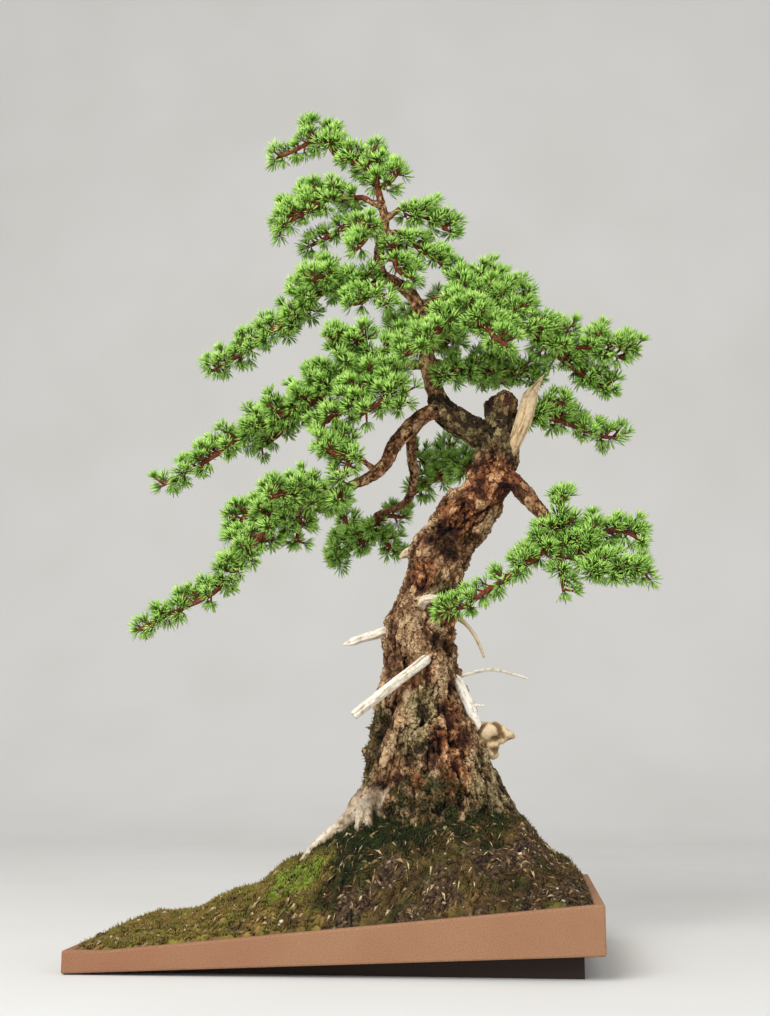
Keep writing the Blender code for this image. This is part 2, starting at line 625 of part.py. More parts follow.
def closest(point, a, b):
    """The place nearest to a point on the line from a to b."""
    span = b - a
    return a + span * max(0.0, min(1.0, (point - a).dot(span) / max(1e-9, span.length_squared)))


def segment_distance(point, a, b):
    return (point - closest(point, a, b)).length


def skeletons():
    """Every spray's axes and side twigs, and the segments of the whole tree with the node each belongs to."""
    sprays, segments = {}, []
    for name, spray in SPRAYS.items():
        rng = random.Random(f"{SEED} {name}")
        axes = [smooth_path(axis, 16) for axis, _, _ in spray]
        twigs = [twig for axis, (_, base, tip) in zip(axes, spray) for twig in side_twigs(axis, base, tip, rng)]
        sprays[name] = (axes, twigs, rng)
        segments += [(name, Vector(a), Vector(b), 2) for path in axes + twigs for a, b in zip(path, path[1:])]
    for path in [TRUNK, *LIMBS.values(), *DEADWOOD]:
        segments += [("tree", Vector(a[:3]), Vector(b[:3]), max(a[3], b[3])) for a, b in zip(path, path[1:])]
    return sprays, segments


def is_free(point, name, segments, placed):
    """Whether a rosette at this point stays clear of every other node's wood and rosettes."""
    for other, a, b, radius in segments:
        if other != name and segment_distance(point, a, b) < NEEDLE + radius + CLEARANCE:
            return False
    return all(other == name or (point - spot).length > 2 * NEEDLE + CLEARANCE for other, spot in placed)


def core(path, first_radius, last_radius):
    """The path with a radius that tapers from its first point to its last."""
    last = len(path) - 1
    return [(*point, first_radius + (last_radius - first_radius) * n / last) for n, point in enumerate(path)]


def twig_section(home):
    """The cross-section of a leafy twig: a regular outline with one corner for each of its sides."""
    curve = bpy.data.curves.new("twig_section", "CURVE")
    spline = curve.splines.new("POLY")
    spline.points.add(SIDES - 1)
    for number, point in enumerate(spline.points):
        angle = 2 * math.pi * number / SIDES
        point.co = (math.cos(angle), math.sin(angle), 0, 1)
    spline.use_cyclic_u = True
    return helper(add_object("twig_section", curve, home))


def shoot(path, start, places, leafy, section, rng, home):
    """A slim twig whose short twisted bands are drawn out, triangle by triangle, into needles."""
    marks = [(place, True) for place, good in zip(places, leafy) if good]
    for place, point in bends(path, AXIS_BARE)[:-1]:
        if start and all(abs(place - mark[0]) > ROSETTE_LENGTH for mark in marks):
            marks.append((place, False))
    stops, turns, bands = [start], [0], []
    for place, has_needles in sorted(marks):
        if has_needles:
            bands.append((place, len(stops)))
            stops += [place - ROSETTE_LENGTH / 2, place + ROSETTE_LENGTH / 2]
            turns += [turns[-1], turns[-1] + 1]
        else:
            stops.append(place)
            turns.append(turns[-1])
    tip_is_leafy = path_length(path) < stops[-1] + 1
    if not tip_is_leafy:
        stops.append(path_length(path))
        turns.append(turns[-1])
    curve = bpy.data.curves.new("shoot", "CURVE")
    curve.dimensions = "3D"
    curve.bevel_mode = "OBJECT"
    curve.bevel_object = section
    curve.use_fill_caps = True
    spline = curve.splines.new("POLY")
    spline.points.add(len(stops) - 1)
    for point, stop, turn in zip(spline.points, stops, turns):
        point.co = (*along(path, stop)[0], 1)
        point.radius = TWIG_RADIUS
        point.tilt = math.pi / SIDES * turn
    rough = add_object("shoot", curve, home)
    mesh = bpy.data.meshes.new_from_object(rough.evaluated_get(bpy.context.evaluated_depsgraph_get()))
    bpy.data.objects.remove(rough)
    bpy.data.curves.remove(curve)
    edit = bmesh.new()
    edit.from_mesh(mesh)
    edit.faces.ensure_lookup_table()
    # the faces come in this order: the end cap's, the first cap's, then each band's from the start on
    caps = 2 * (SIDES - 2)
    bands = [(place, edit.faces[caps + SIDES * n : caps + SIDES * (n + 1)]) for place, n in bands]
    end = edit.faces[0 : SIDES - 2] if tip_is_leafy else []
    needles = []
    for place, band in bands:
        middle, forward = along(path, place)
        split = bmesh.ops.triangulate(edit, faces=band, quad_method="SHORT_EDGE")["faces"]
        for face in split:
            centre = face.calc_center_median()
            ahead = sum((vert.co - middle).dot(forward) > 0 for vert in face.verts)
            away = centre - middle
            away = (away - forward * away.dot(forward)).normalized()
            needles.append((face, centre, away + forward * (FRONT_LEAN if ahead == 2 else REAR_LEAN)))
    tip, forward = along(path, stops[-1])
    for face in end:
        centre = face.calc_center_median()
        needles.append((face, centre, forward + (centre - tip).normalized() * 0.25))
    for face, centre, way in needles:
        point = bmesh.ops.poke(edit, faces=[face])["verts"][0]
        point.co = centre + way.normalized() * NEEDLE * rng.uniform(0.85, 1.05)
    bmesh.ops.remove_doubles(edit, verts=edit.verts, dist=1e-4)
    bmesh.ops.recalc_face_normals(edit, faces=edit.faces)
    bmesh.ops.scale(edit, vec=(MM, MM, MM), verts=edit.verts)
    edit.to_mesh(mesh)
    edit.free()
    return add_object("shoot", mesh, home)


def woody_core(axis):
    """The bare share of an axis, from its base on, in even steps."""
    length = path_length(axis) * AXIS_BARE
    steps = max(2, round(length / CORE_STEP))
    return [along(axis, length * n / steps)[0] for n in range(steps + 1)]


def make_spray(name, axes, twigs, rng, segments, placed, section, home, look):
    """A woody core from the limb's end on, with leafy shoots along it and at its tip, all fused."""
    limb = smooth_path(LIMBS[name if name in LIMBS else "leader"], LIMB_RING_STEP)
    limb_end = limb[-1][3]
    seat = Vector(limb[-1][:3])
    way = (seat - Vector(limb[-2][:3])).normalized()
    first = [seat + way * TOUCH / MM, seat + way * SEAT_LENGTH, *woody_core(axes[0])[1:]]
    host = tube("core", core(first, limb_end, TWIG_RADIUS), home, bevel_resolution=sides(limb_end))
    pieces = collection(name + "_pieces")
    lines = [woody_core(axis) + [Vector(point) for place, point in bends(axis, AXIS_BARE)] for axis in axes]
    for number, path in enumerate(map(woody_core, axes[1:]), 1):
        others = [pair for other in lines[:number] + lines[number + 1 :] for pair in zip(other, other[1:])]
        joint = min((closest(path[0], a, b) for a, b in others), key=lambda spot: (spot - path[0]).length)
        lead = [joint] if FORK_LEAD[0] < (joint - path[0]).length < FORK_LEAD[1] else []
        tube("core", core(lead + path, FORK_RADIUS, TWIG_RADIUS), pieces, bevel_resolution=0)
    paths = [(axis, path_length(axis) * AXIS_BARE - 3, path_length(axis) * AXIS_BARE + 3) for axis in axes]
    paths += [(twig, 0, 9) for twig in twigs]
    for path, begin, bare in paths:
        places = rosette_places(path_length(path), bare)
        spots = [along(path, place)[0] for place in places]
        free = [is_free(spot, name, segments, placed) for spot in spots]
        shoot(path, begin, places, free, section, rng, pieces)
        placed += [(name, spot) for spot, good in zip(spots, free) if good]
    fuse(host, pieces)
    return finish(host, "spray_" + name, look, 30)


def centre_on_footprint(root):
    """Moves the whole part so that its origin lies under the middle of its bounding box."""
    bpy.context.view_layer.update()
    corners = [obj.matrix_world @ Vector(corner) for obj in root.children for corner in obj.bound_box]
    for axis in (0, 1):
        values = [corner[axis] for corner in corners]
        root.location[axis] = -(min(values) + max(values)) / 2


def main():
    for obj in list(bpy.data.objects):
        bpy.data.objects.remove(obj)
    home, cutters = collection("larch_bonsai"), collection("cutters")
    cutters.hide_render = True
    tray = make_tray(home, cutters, material("unglazed_stoneware", STONEWARE, 0.85))
    parts = [tray]
    black = material("black_plastic_mesh", SCREEN_BLACK, 0.6)
    soil = make_soil(home, material("soil", EARTH, 0.95))
    for number, x in enumerate(DRAIN_PLACES, 1):
        parts.append(make_screen(number, x, home, black))
        pocket = tilted_block("pocket", x, SCREEN_SIZE + 2 * TOUCH, SCREEN_THICKNESS + 4 * TOUCH, -TOUCH, cutters)
        boolean(soil, "DIFFERENCE", helper(pocket))
    parts.append(make_tree(home, material("larch_wood", BARK, 0.9)))
    dig_holes(soil, cutters)
    parts.append(soil)
    green = material("larch_needles", NEEDLE_GREEN, 0.6)
    sprays, segments = skeletons()
    placed, section = [], twig_section(cutters)
    for name, (axes, twigs, rng) in sprays.items():
        parts.append(make_spray(name, axes, twigs, rng, segments, placed, section, home, green))
    bpy.data.objects.remove(section)
    root = bpy.data.objects.new("larch_bonsai_root", None)
    home.objects.link(root)
    for obj in [*parts, *cutters.objects]:
        obj.parent = root
    centre_on_footprint(root)


main()
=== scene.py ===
"""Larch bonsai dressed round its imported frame: bark, dead wood, needle rosettes, mossy soil and tray.

Paths are in millimetres from the tray's middle at floor level, as (x, y, z) or (x, y, z, radius); meshes and
settings are in metres.
"""

import math
import random

import bpy
import numpy as np
from bpy.props import FloatProperty, FloatVectorProperty, IntProperty, PointerProperty
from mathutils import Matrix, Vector, noise


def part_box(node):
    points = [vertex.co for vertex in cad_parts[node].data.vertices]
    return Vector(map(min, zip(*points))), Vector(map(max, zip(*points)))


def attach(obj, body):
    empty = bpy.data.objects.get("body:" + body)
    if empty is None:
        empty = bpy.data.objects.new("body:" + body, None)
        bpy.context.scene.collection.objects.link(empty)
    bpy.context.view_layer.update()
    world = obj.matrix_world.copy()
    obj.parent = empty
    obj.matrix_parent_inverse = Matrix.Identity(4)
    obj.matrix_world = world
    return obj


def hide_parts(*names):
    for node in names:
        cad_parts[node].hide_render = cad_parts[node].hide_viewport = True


bl_info = {
    "name": "Larch bonsai",
    "version": (1, 0, 0),
    "blender": (4, 5, 0),
    "location": "View3D > Sidebar > Bonsai",
    "description": "Grows a larch bonsai's bark, dead wood, needles and mossy soil round its solids",
    "category": "Add Mesh",
}

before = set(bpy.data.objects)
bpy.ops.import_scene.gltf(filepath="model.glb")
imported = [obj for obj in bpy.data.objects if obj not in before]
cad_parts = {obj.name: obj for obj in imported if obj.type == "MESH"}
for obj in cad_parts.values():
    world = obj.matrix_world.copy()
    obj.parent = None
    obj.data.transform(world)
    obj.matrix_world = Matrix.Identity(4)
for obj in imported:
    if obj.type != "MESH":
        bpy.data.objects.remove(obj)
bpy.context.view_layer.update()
MM = 0.001

# Tray
TRAY_WIDTH = 0.480
TRAY_DEPTH = 0.300
TRAY_WALL = 0.009
TRAY_FLOOR = 0.008
UNDERSIDE_LEFT = 0.0008
UNDERSIDE_RIGHT = 0.022
RIM_LEFT = 0.021
RIM_RIGHT = 0.0655
RIM_FLAT_END = -0.202
TOUCH = 0.0004
INSIDE_X = TRAY_WIDTH / 2 - TRAY_WALL
INSIDE_Y = TRAY_DEPTH / 2 - TRAY_WALL
SHIFT = Vector((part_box("tray")[0].x + TRAY_WIDTH / 2, 0, 0))  # from the tray's middle to the frame's origin

# Soil
SOIL_BELOW_RIM = 0.002
SOIL_LUMPS = 0.0035
LUMPS_EACH_M = 45
SOIL_FALL = 2.0
SOIL_END = 0.02  # the lumps die out over this band at the tray's ends
SOIL_EDGE = 0.0025  # moss and grains die out over this band along the walls
MOUND_COLUMNS = 248
MOUND_ROWS = 152
BARE_FOOT = (0.083, 0.003, 0.058)  # the circle of the trunk's foot, where nothing is strewn: x, y and radius

# The crest of the mound from left to right: x and height in millimetres
CREST = [(-240, 20), (-211, 23), (-175, 30), (-100, 58), (-50, 89), (-20, 110), (15, 132), (60, 141),
         (120, 140), (163, 130), (206, 91), (240, 63)]

# The tree's skeleton: trunk, limbs by name, roots and dead stubs
TRUNK = [(84, 4, 92, 56), (83, 4, 118, 62), (82, 3, 145, 65), (79, 2, 172, 62), (75, 1, 200, 56),
         (73, 0, 222, 49), (71, 0, 243, 43), (69, -2, 284, 34), (71, -3, 322, 32), (84, -2, 361, 28),
         (89, 0, 388, 27.5), (96, 1, 403, 27), (107, 3, 421, 26), (125, 5, 443, 25), (142, 7, 468, 23),
         (151, 8, 495, 19), (156, 9, 521, 17), (155, 10, 545, 15.5), (154, 10, 558, 12), (153, 10, 563, 6)]
# Hollows in the trunk's bark: x, y, z, how far each spreads, and its depth, in millimetres
HOLLOWS = [(99, -24, 402, 15, 9), (88, -30, 303, 9, 5), (29, -32, 208, 14, 9), (21, -27, 184, 11, 6)]

LIMBS = {
    "main": [(150, 9, 508, 13), (135, 8, 519, 14.5), (115, 5, 530, 14), (97, 2, 544, 13.5), (87, 0, 562, 9)],
    "leader": [(94, 1, 551, 9), (84, 0, 575, 8.5), (80, -2, 600, 8), (76, -4, 632, 7.4), (70, -6, 658, 6.8),
               (59, -7, 674, 6.4), (45, -8, 684, 6.2), (32, -9, 693, 6), (29, -10, 714, 5.6),
               (35, -10, 743, 5.2), (34, -10, 762, 4.6), (29, -10, 784, 3.6)],
    "first_left": [(94, 0, 545, 9), (76, -3, 539, 8.6), (60, -5, 525, 8), (46, -8, 508, 7.4),
                   (38, -11, 490, 6.8), (24, -16, 474, 6), (-2, -20, 461, 4.8)],
    "inner": [(28, -15, 478, 4), (15, -27, 487, 2.4)],
    "back_left": [(92, 4, 548, 7), (72, 18, 541, 6.4), (60, 33, 527, 5.8), (59, 50, 505, 5.4),
                  (60, 62, 487, 5), (50, 80, 463, 4.2), (18, 95, 453, 3.2)],
    "second_left": [(79, -2, 594, 6), (56, -6, 593, 5), (32, -11, 592, 4)],
    "third_left": [(36, -9, 689, 5), (12, -8, 694, 3.8)],
    "crown_middle": [(77, -4, 626, 6), (94, -15, 640, 4.2)],
    "crown_top": [(70, -6, 654, 5.5), (92, 4, 669, 3.8)],
    "crown_low": [(79, -2, 596, 6), (104, 10, 596, 4)],
    "crown_back": [(77, -3, 636, 6), (80, 24, 650, 4)],
    "upper_left": [(31, -10, 768, 4.2), (14, -11, 777, 2.7)],
    "upper_left_low": [(35, -10, 750, 3.8), (16, -11, 754, 2.3)],
    "upper_right": [(34, -10, 752, 4.2), (52, -8, 765, 2.6)],
    "upper_right_low": [(35, -10, 738, 3.8), (48, -8, 739, 2.2)],
    "right_high": [(156, 12, 536, 5.5), (177, 17, 546, 3.4)],
    "right_low": [(148, 4, 482, 10), (170, -7, 464, 9), (185, -17, 443, 8), (199, -26, 427, 5.6)],
    "back": [(142, 14, 474, 8), (135, 36, 489, 5.6), (128, 52, 495, 4)],
}

ROOTS = [
    [(66, -33, 268, 5), (58, -39, 236, 8), (50, -44, 208, 10), (39, -42, 181, 11), (26, -36, 158, 10.5),
     (13, -34, 143, 10.5), (1, -32, 129, 7.6), (-22, -31, 110, 6.6), (-39, -30, 93, 5), (-50, -28, 76, 3.5)],
    [(18, -36, 144, 6), (13, -44, 124, 4), (9, -53, 104, 3.2), (7, -60, 88, 2.4)],
    [(22, -36, 142, 6), (24, -45, 124, 4), (28, -55, 104, 3.2), (30, -62, 88, 2.4)],
    [(110, 0, 192, 22), (134, -4, 163, 17), (153, -7, 134, 12), (167, -8, 106, 8), (176, -8, 84, 4)],
    [(60, 26, 172, 18), (42, 48, 140, 12), (24, 64, 112, 8), (10, 76, 84, 5)],
    [(104, 26, 172, 18), (124, 46, 140, 13), (140, 62, 110, 8), (151, 74, 82, 5)],
]

DEADWOOD = [
    [(160, 2, 492, 6), (170, -3, 510, 7), (179, -5, 533, 8.4), (186, -5, 556, 7.6), (194, -4, 570, 5.4),
     (202, -3, 582, 1.6)],
    [(52, -6, 320, 6), (30, -10, 312, 4.8), (12, -12, 307, 4.2), (4, -13, 304, 4.2), (-6, -14, 301, 1)],
    [(80, -24, 288, 5.6), (74, -42, 280, 5.4), (44, -54, 256, 5), (10, -62, 229, 4.8)],
    [(72, -22, 336, 5), (78, -36, 343, 4.2), (92, -38, 344, 3.4)],
    [(102, 8, 334, 4), (118, 8, 321, 2.2), (128, 5, 306, 2), (135, 0, 288, 1.3)],
    [(88, 5, 262, 4), (108, 4, 269, 2.4), (140, 0, 276, 2), (165, -4, 271, 1.7), (179, -5, 266, 1)],
    [(88, 2, 262, 4), (106, -3, 266, 3.8), (114, -6, 252, 4), (121, -8, 236, 4), (128, -6, 216, 3.8)],
    [(119, -8, 241, 2.4), (135, -7, 240, 1.2)],
    [(123, -8, 228, 2.4), (111, -15, 217, 1.4)],
    [(108, 0, 200, 9), (126, -1, 206, 11), (140, -2, 213, 12), (151, -3, 212, 9), (158, -4, 210, 5),
     (163, -5, 209, 2)],
    [(138, -2, 208, 8), (143, -4, 196, 6), (143, -5, 190, 3)],
    [(72, 0, 398, 8), (58, -2, 395, 5), (50, -3, 390, 2)],
    [(180, -13, 448, 4.5), (188, -17, 434, 3.4), (193, -18, 424, 1.4)],
    [(50, -14, 270, 5), (36, -18, 264, 2)],
]

# Leafy branches: each axis with the reach of its side twigs at its foot and at its tip, in millimetres
SPRAYS = {
    "apex": [
        ([(29, -10, 784), (26, -11, 802), (23, -12, 818), (21, -12, 828)], 22, 14),
        ([(25, -11, 806), (2, -12, 818), (-17, -13, 828), (-26, -13, 840), (-42, -13, 844),
          (-66, -12, 833), (-82, -12, 827)], 18, 9),
        ([(28, -10, 790), (40, -14, 793), (50, -16, 801)], 14, 10),
        ([(-43, -13, 845), (-44, -13, 853), (-47, -14, 860)], 8, 8),
        ([(-24, -13, 837), (-21, -12, 845), (-20, -11, 853)], 8, 8),
    ],
    "upper_left": [
        ([(14, -11, 777), (-10, -12, 778), (-34, -14, 777), (-56, -17, 770), (-80, -20, 752)], 21, 13),
        ([(-22, -13, 778), (-38, -26, 764), (-58, -34, 748), (-72, -38, 736)], 17, 12),
    ],
    "upper_left_low": [
        ([(16, -11, 754), (-6, -10, 747), (-28, -8, 735), (-50, -6, 726)], 9, 7),
        ([(4, -10, 751), (18, -28, 738), (18, -36, 722), (8, -40, 708)], 16, 10),
    ],
    "upper_right": [([(52, -8, 765), (70, -5, 760), (88, -3, 752), (104, -2, 740)], 24, 14)],
    "upper_right_low": [
        ([(48, -8, 739), (62, -6, 730), (80, -4, 714), (96, -6, 702)], 18, 12),
        ([(54, -7, 736), (46, -18, 714), (50, -22, 692), (70, -26, 678)], 18, 12),
    ],
    "third_left": [
        ([(12, -8, 694), (-7, -6, 693), (-30, -4, 679), (-56, 0, 654), (-85, 4, 639), (-111, 8, 620),
          (-132, 12, 609), (-154, 14, 598)], 34, 12),
        ([(-8, -6, 694), (-20, -24, 690), (-38, -42, 676)], 18, 12),
        ([(-1, -7, 693), (20, -20, 678), (18, -26, 659), (3, -28, 653)], 18, 12),
        ([(20, -20, 678), (32, -26, 665), (39, -30, 652)], 10, 8),
    ],
    "second_left": [
        ([(32, -11, 592), (-1, -16, 584), (-37, -20, 553), (-67, -22, 540), (-91, -22, 529),
          (-113, -21, 514), (-135, -20, 501), (-157, -18, 488), (-178, -16, 478), (-198, -14, 467)], 38, 10),
        ([(22, -14, 590), (18, -22, 608), (4, -28, 616), (-14, -30, 614)], 24, 16),
        ([(-6, -16, 582), (-20, 10, 584), (-38, 34, 577)], 20, 14),
        ([(20, -13, 590), (24, -34, 568), (8, -44, 548), (-6, -46, 532), (-26, -48, 520)], 24, 16),
        ([(22, -14, 589), (46, -28, 574), (46, -40, 556), (32, -46, 541), (16, -48, 530)], 20, 15),
        ([(-48, -21, 553), (-62, -8, 538), (-78, -2, 522), (-98, 2, 508)], 18, 12),
        ([(19, -15, 598), (42, -19, 608), (55, -22, 619)], 14, 10),
        ([(46, -28, 574), (58, -34, 557), (53, -40, 538)], 14, 10),
    ],
    "first_left": [
        ([(-2, -20, 461), (-33, -24, 450), (-59, -28, 435), (-84, -31, 416), (-102, -34, 393),
          (-116, -35, 372), (-137, -37, 351), (-163, -38, 338), (-189, -39, 326), (-210, -40, 315)], 36, 9),
        ([(-36, -25, 450), (-54, -50, 452), (-74, -66, 442)], 20, 14),
        ([(-52, -27, 439), (-52, -14, 425), (-57, -4, 408)], 16, 12),
        ([(-65, -29, 431), (-89, -14, 439), (-114, -4, 432), (-129, 2, 418)], 20, 13),
    ],
    "inner": [
        ([(15, -27, 487), (2, -33, 497), (-9, -36, 506)], 24, 14),
        ([(6, -31, 493), (-8, -44, 490), (-26, -50, 498)], 18, 12),
        ([(6, -31, 493), (-1, -36, 478), (-5, -40, 465)], 12, 9),
    ],
    "back_left": [
        ([(18, 95, 453), (3, 105, 430), (-16, 115, 416), (-35, 120, 406)], 30, 18),
        ([(11, 100, 442), (22, 108, 428), (34, 110, 412)], 16, 12),
        ([(3, 105, 430), (-13, 112, 441), (-24, 116, 452)], 14, 10),
        ([(9, 101, 440), (24, 104, 452), (45, 110, 451)], 14, 10),
    ],
    "crown_middle": [
        ([(94, -15, 640), (126, -26, 646), (156, -28, 640), (182, -20, 627), (208, -10, 612),
          (232, -3, 608), (256, 0, 607), (282, 0, 595)], 36, 22),
        ([(112, -22, 645), (128, -44, 630), (148, -58, 608), (164, -64, 592)], 26, 14),
        ([(104, -19, 642), (98, -42, 622), (82, -56, 602), (60, -60, 586)], 22, 16),
        ([(196, -15, 620), (218, 8, 601), (246, 18, 582), (272, 22, 568)], 20, 14),
    ],
    "crown_top": [([(92, 4, 669), (125, 12, 685), (156, 17, 683), (185, 19, 668)], 30, 20)],
    "crown_low": [
        ([(104, 10, 596), (134, 24, 592), (166, 30, 594), (192, 30, 584)], 26, 18),
        ([(134, 24, 592), (146, 50, 598), (160, 74, 594)], 22, 14),
        ([(112, 14, 595), (110, -6, 586), (100, -16, 574)], 16, 12),
    ],
    "crown_back": [
        ([(80, 24, 650), (86, 55, 657), (92, 88, 652), (96, 112, 642)], 36, 22),
        ([(85, 50, 656), (62, 72, 664), (40, 88, 660)], 24, 14),
    ],
    "right_high": [
        ([(177, 17, 546), (196, 22, 543), (218, 30, 538), (241, 35, 529), (263, 40, 522),
          (280, 45, 523)], 20, 12),
        ([(189, 20, 545), (203, 14, 551), (219, 12, 553)], 12, 9),
    ],
    "right_low": [
        ([(199, -26, 427), (212, -36, 410), (226, -42, 392), (250, -48, 376), (272, -50, 364),
          (295, -50, 365)], 28, 13),
        ([(208, -33, 415), (215, -40, 430), (214, -44, 442)], 16, 10),
        ([(228, -43, 392), (250, -38, 407), (273, -38, 409), (291, -42, 398)], 20, 12),
        ([(210, -35, 411), (193, -52, 385), (175, -60, 372), (158, -63, 359), (137, -66, 346),
          (118, -69, 332), (96, -72, 329)], 15, 9),
        ([(238, -45, 384), (244, -54, 365)], 14, 10),
        ([(214, -37, 408), (210, -46, 388), (212, -48, 368), (214, -50, 348)], 13, 10),
    ],
    "back": [
        ([(128, 52, 495), (115, 74, 500), (98, 96, 500), (78, 112, 492), (56, 122, 480)], 22, 16),
        ([(91, 102, 498), (92, 108, 516), (97, 112, 531)], 14, 10),
        ([(78, 112, 492), (67, 124, 515), (58, 132, 534)], 14, 10),
    ],
}

# Sides of the tubes, and steps along their paths in millimetres
TRUNK_SIDES = 48
LIMB_SIDES = 16
LIMB_STEP = 4
STUB_SIDES = 14
STUB_STEP = 2.5

# Bark: depth and scales of the relief of the trunk's solid, the heights where it starts, and flake layers
BARK_RELIEF = 0.0042
BARK_RIDGES = (60, 22)
BARK_KNOBS = 48
BARK_FROM = 0.150
BARK_FULL = 0.185
LARGE_LAYERS = 4.6
SMALL_LAYERS = 2.8
BLEACHED_ROOTS = 3  # the first roots, pale where they near the soil

# Twigs and needles, lengths in millimetres
TWIG_EVERY = 48
FIRST_TWIG = 12
GAP_PARTS = 10  # finer twigs divide each gap between the solid's twigs into this many parts
FORK_RADIUS = 2.2
TWIG_CLEAR = 7  # a rosette stays so far off the trunk and the limbs
GOLDEN_SHARE = 0.618  # of a turn from one shoot to the next
GOLDEN_ANGLE = 2.39996
FULL_TURN = 6.28
SLIVER = [(0, 2, 1), (3, 1, 2), (0, 1, 3), (0, 3, 2)]  # the four faces of one needle
SEED = 11

# Camera: place and direction in metres, lens and sensor in millimetres
CAMERA_PLACE = Vector((0.1687, -1.3732, 0.1953))
CAMERA_WAY = Vector((-0.0956, 0.9797, 0.1764))
CAMERA_LENS = 48.1
CAMERA_SENSOR = 36
LIT_POINT = Vector((0, 0, 0.42))  # where both lights aim


def srgb(code):
    """Linear RGBA of an sRGB colour such as #8a6b4f."""
    channels = (int(code[place : place + 2], 16) / 255 for place in (1, 3, 5))
    return (*(c / 12.92 if c <= 0.04045 else ((c + 0.055) / 1.055) ** 2.4 for c in channels), 1.0)


def colour(name, description, code):
    return FloatVectorProperty(
        name=name, description=description, subtype="COLOR", size=4, min=0, max=1, default=srgb(code)
    )


def length(name, description, default, least=0.0):
    return FloatProperty(
        name=name, description=description, default=default, min=least, subtype="DISTANCE", unit="LENGTH",
        precision=4,
    )


def power(name, description, default):
    return FloatProperty(
        name=name, description=description, default=default, min=0, subtype="POWER", unit="POWER"
    )


def amount(name, description, default, least=0):
    return IntProperty(name=name, description=description, default=default, min=least)


class BonsaiWood(bpy.types.PropertyGroup):
    voxel: length("Skin step", "Grid step of the skin round trunk, limbs and roots", 0.0012, 0.0008)
    kept: FloatProperty(
        name="Kept triangles", description="Share of the skin's triangles that are kept", default=0.545,
        min=0.05, max=1, subtype="FACTOR",
    )
    flake_size: length("Flake size", "Usual size of a bark flake across the trunk", 0.0112, 0.002)
    furrow_depth: length("Furrow depth", "Depth from a flake's face to the furrow beside it", 0.0062)
    plate_tan: colour("Weathered flake", "Bark that kept its weathered face", "#a8855f")
    plate_red: colour("Fresh flake", "Bark that lost its weathered face", "#855030")
    lichen: colour("Lichen", "Olive film on the shaded bark", "#767046")
    moss: colour("Moss", "Moss in the furrows near the soil", "#3a421e")


class BonsaiDeadwood(bpy.types.PropertyGroup):
    voxel: length("Skin step", "Grid step of the skin round each dead stub", 0.0009, 0.0005)
    fibre_depth: length("Fibre depth", "Height of the weathered fibres", 0.0006)
    bleached: colour("Bleached", "Sun-bleached wood", "#efe9dc")
    weathered: colour("Weathered", "Cracks and less bleached fibres", "#a8957a")
    burl: colour("Burl", "The tan knob by the right stub", "#dcc39d")


class BonsaiNeedles(bpy.types.PropertyGroup):
    needle_length: length("Needle length", "Length of a needle in its first month", 0.0152, 0.004)
    needle_width: length("Needle width", "Width of a needle", 0.0017, 0.0003)
    per_rosette: amount("Needles in a rosette", "Needles of one short shoot", 28, 5)
    spacing: length("Rosette spacing", "Distance between rosettes along a twig", 0.0054, 0.003)
    inner: colour("Needle base", "Green at the foot of each needle", "#7eb44c")
    outer: colour("Needle tip", "Green at the tip of each needle", "#dafd9a")
    twig: colour("Twig bark", "Bark of the young twigs", "#7c3e24")


class BonsaiSoil(bpy.types.PropertyGroup):
    moss_shoots: amount("Moss shoots", "Places tried for a moss shoot; most grow on closed moss", 37625)
    moss_height: length("Moss height", "Height of a moss shoot", 0.0042, 0.001)
    litter: amount("Litter", "Dead needles and root threads on the mound", 3400)
    stones: amount("Grit stones", "Places tried for a loose stone; fewest lie on closed moss", 2600)
    stone_size: length("Stone size", "Usual size of a grit stone", 0.0023, 0.0005)
    earth: colour("Earth", "Damp potting grit", "#443122")
    # Shaded and sunlit moss: painted shade and painted light on one moss, with some of the yellower colour
    # that moss takes where it grows in sun.
    moss_dark: colour("Shaded moss", "Moss in the tree's shade", "#2f3a17")
    moss_bright: colour("Sunlit moss", "Moss on the open slope", "#998a42")
    moss_fresh: colour("Fresh moss", "Moss of the brightest cushion", "#96a83e")
    moss_dry: colour("Dry moss", "Moss that browned in last year's sun", "#5d4a2c")


class BonsaiTray(bpy.types.PropertyGroup):
    clay: colour("Clay", "Fired clay body", "#ac815f")
    clay_red: colour("Redder clay", "Clay where the firing left it redder", "#a36f52")
    specks: colour("Specks", "Iron specks and dark grog", "#4b3326")
    # Painted shade: the dark colour of the feet and the underside, which stand in shadow.
    underside_shade: colour("Iron wash", "Dark wash on the feet and the underside", "#33261f")


class BonsaiStage(bpy.types.PropertyGroup):
    floor: colour("Floor", "Plain pale floor", "#d9d7d2")
    key_power: power("Key light", "Power of the large soft light", 62)
    fill_power: power("Fill light", "Power of the weak side light", 12)


# Paths

def smooth_path(points, step):
    """A Catmull-Rom curve through points of any count of numbers, sampled about every step."""
    ends = [points[0], *points, points[-1]]
    path = []
    for i in range(len(points) - 1):
        a, b, c, d = ends[i : i + 4]
        pieces = max(1, round(math.dist(b[:3], c[:3]) / step))
        for n in range(pieces):
            t = n / pieces
            path.append(tuple(
                0.5 * (2 * q + (r - p) * t + (2 * p - 5 * q + 4 * r - s) * t * t
                       + (3 * q - p - 3 * r + s) * t**3)
                for p, q, r, s in zip(a, b, c, d)
            ))
    path.append(tuple(points[-1]))
    return path


def along(path, distance):
    """The point and the direction at a distance along a path of (x, y, z), in millimetres."""
    for a, b in zip(path, path[1:]):
        span = math.dist(a, b)
        if distance <= span:
            return Vector(a).lerp(Vector(b), distance / span), (Vector(b) - Vector(a)).normalized()
        distance -= span
    return Vector(path[-1]), (Vector(path[-1]) - Vector(path[-2])).normalized()


def path_length(path):
    return sum(math.dist(a, b) for a, b in zip(path, path[1:]))


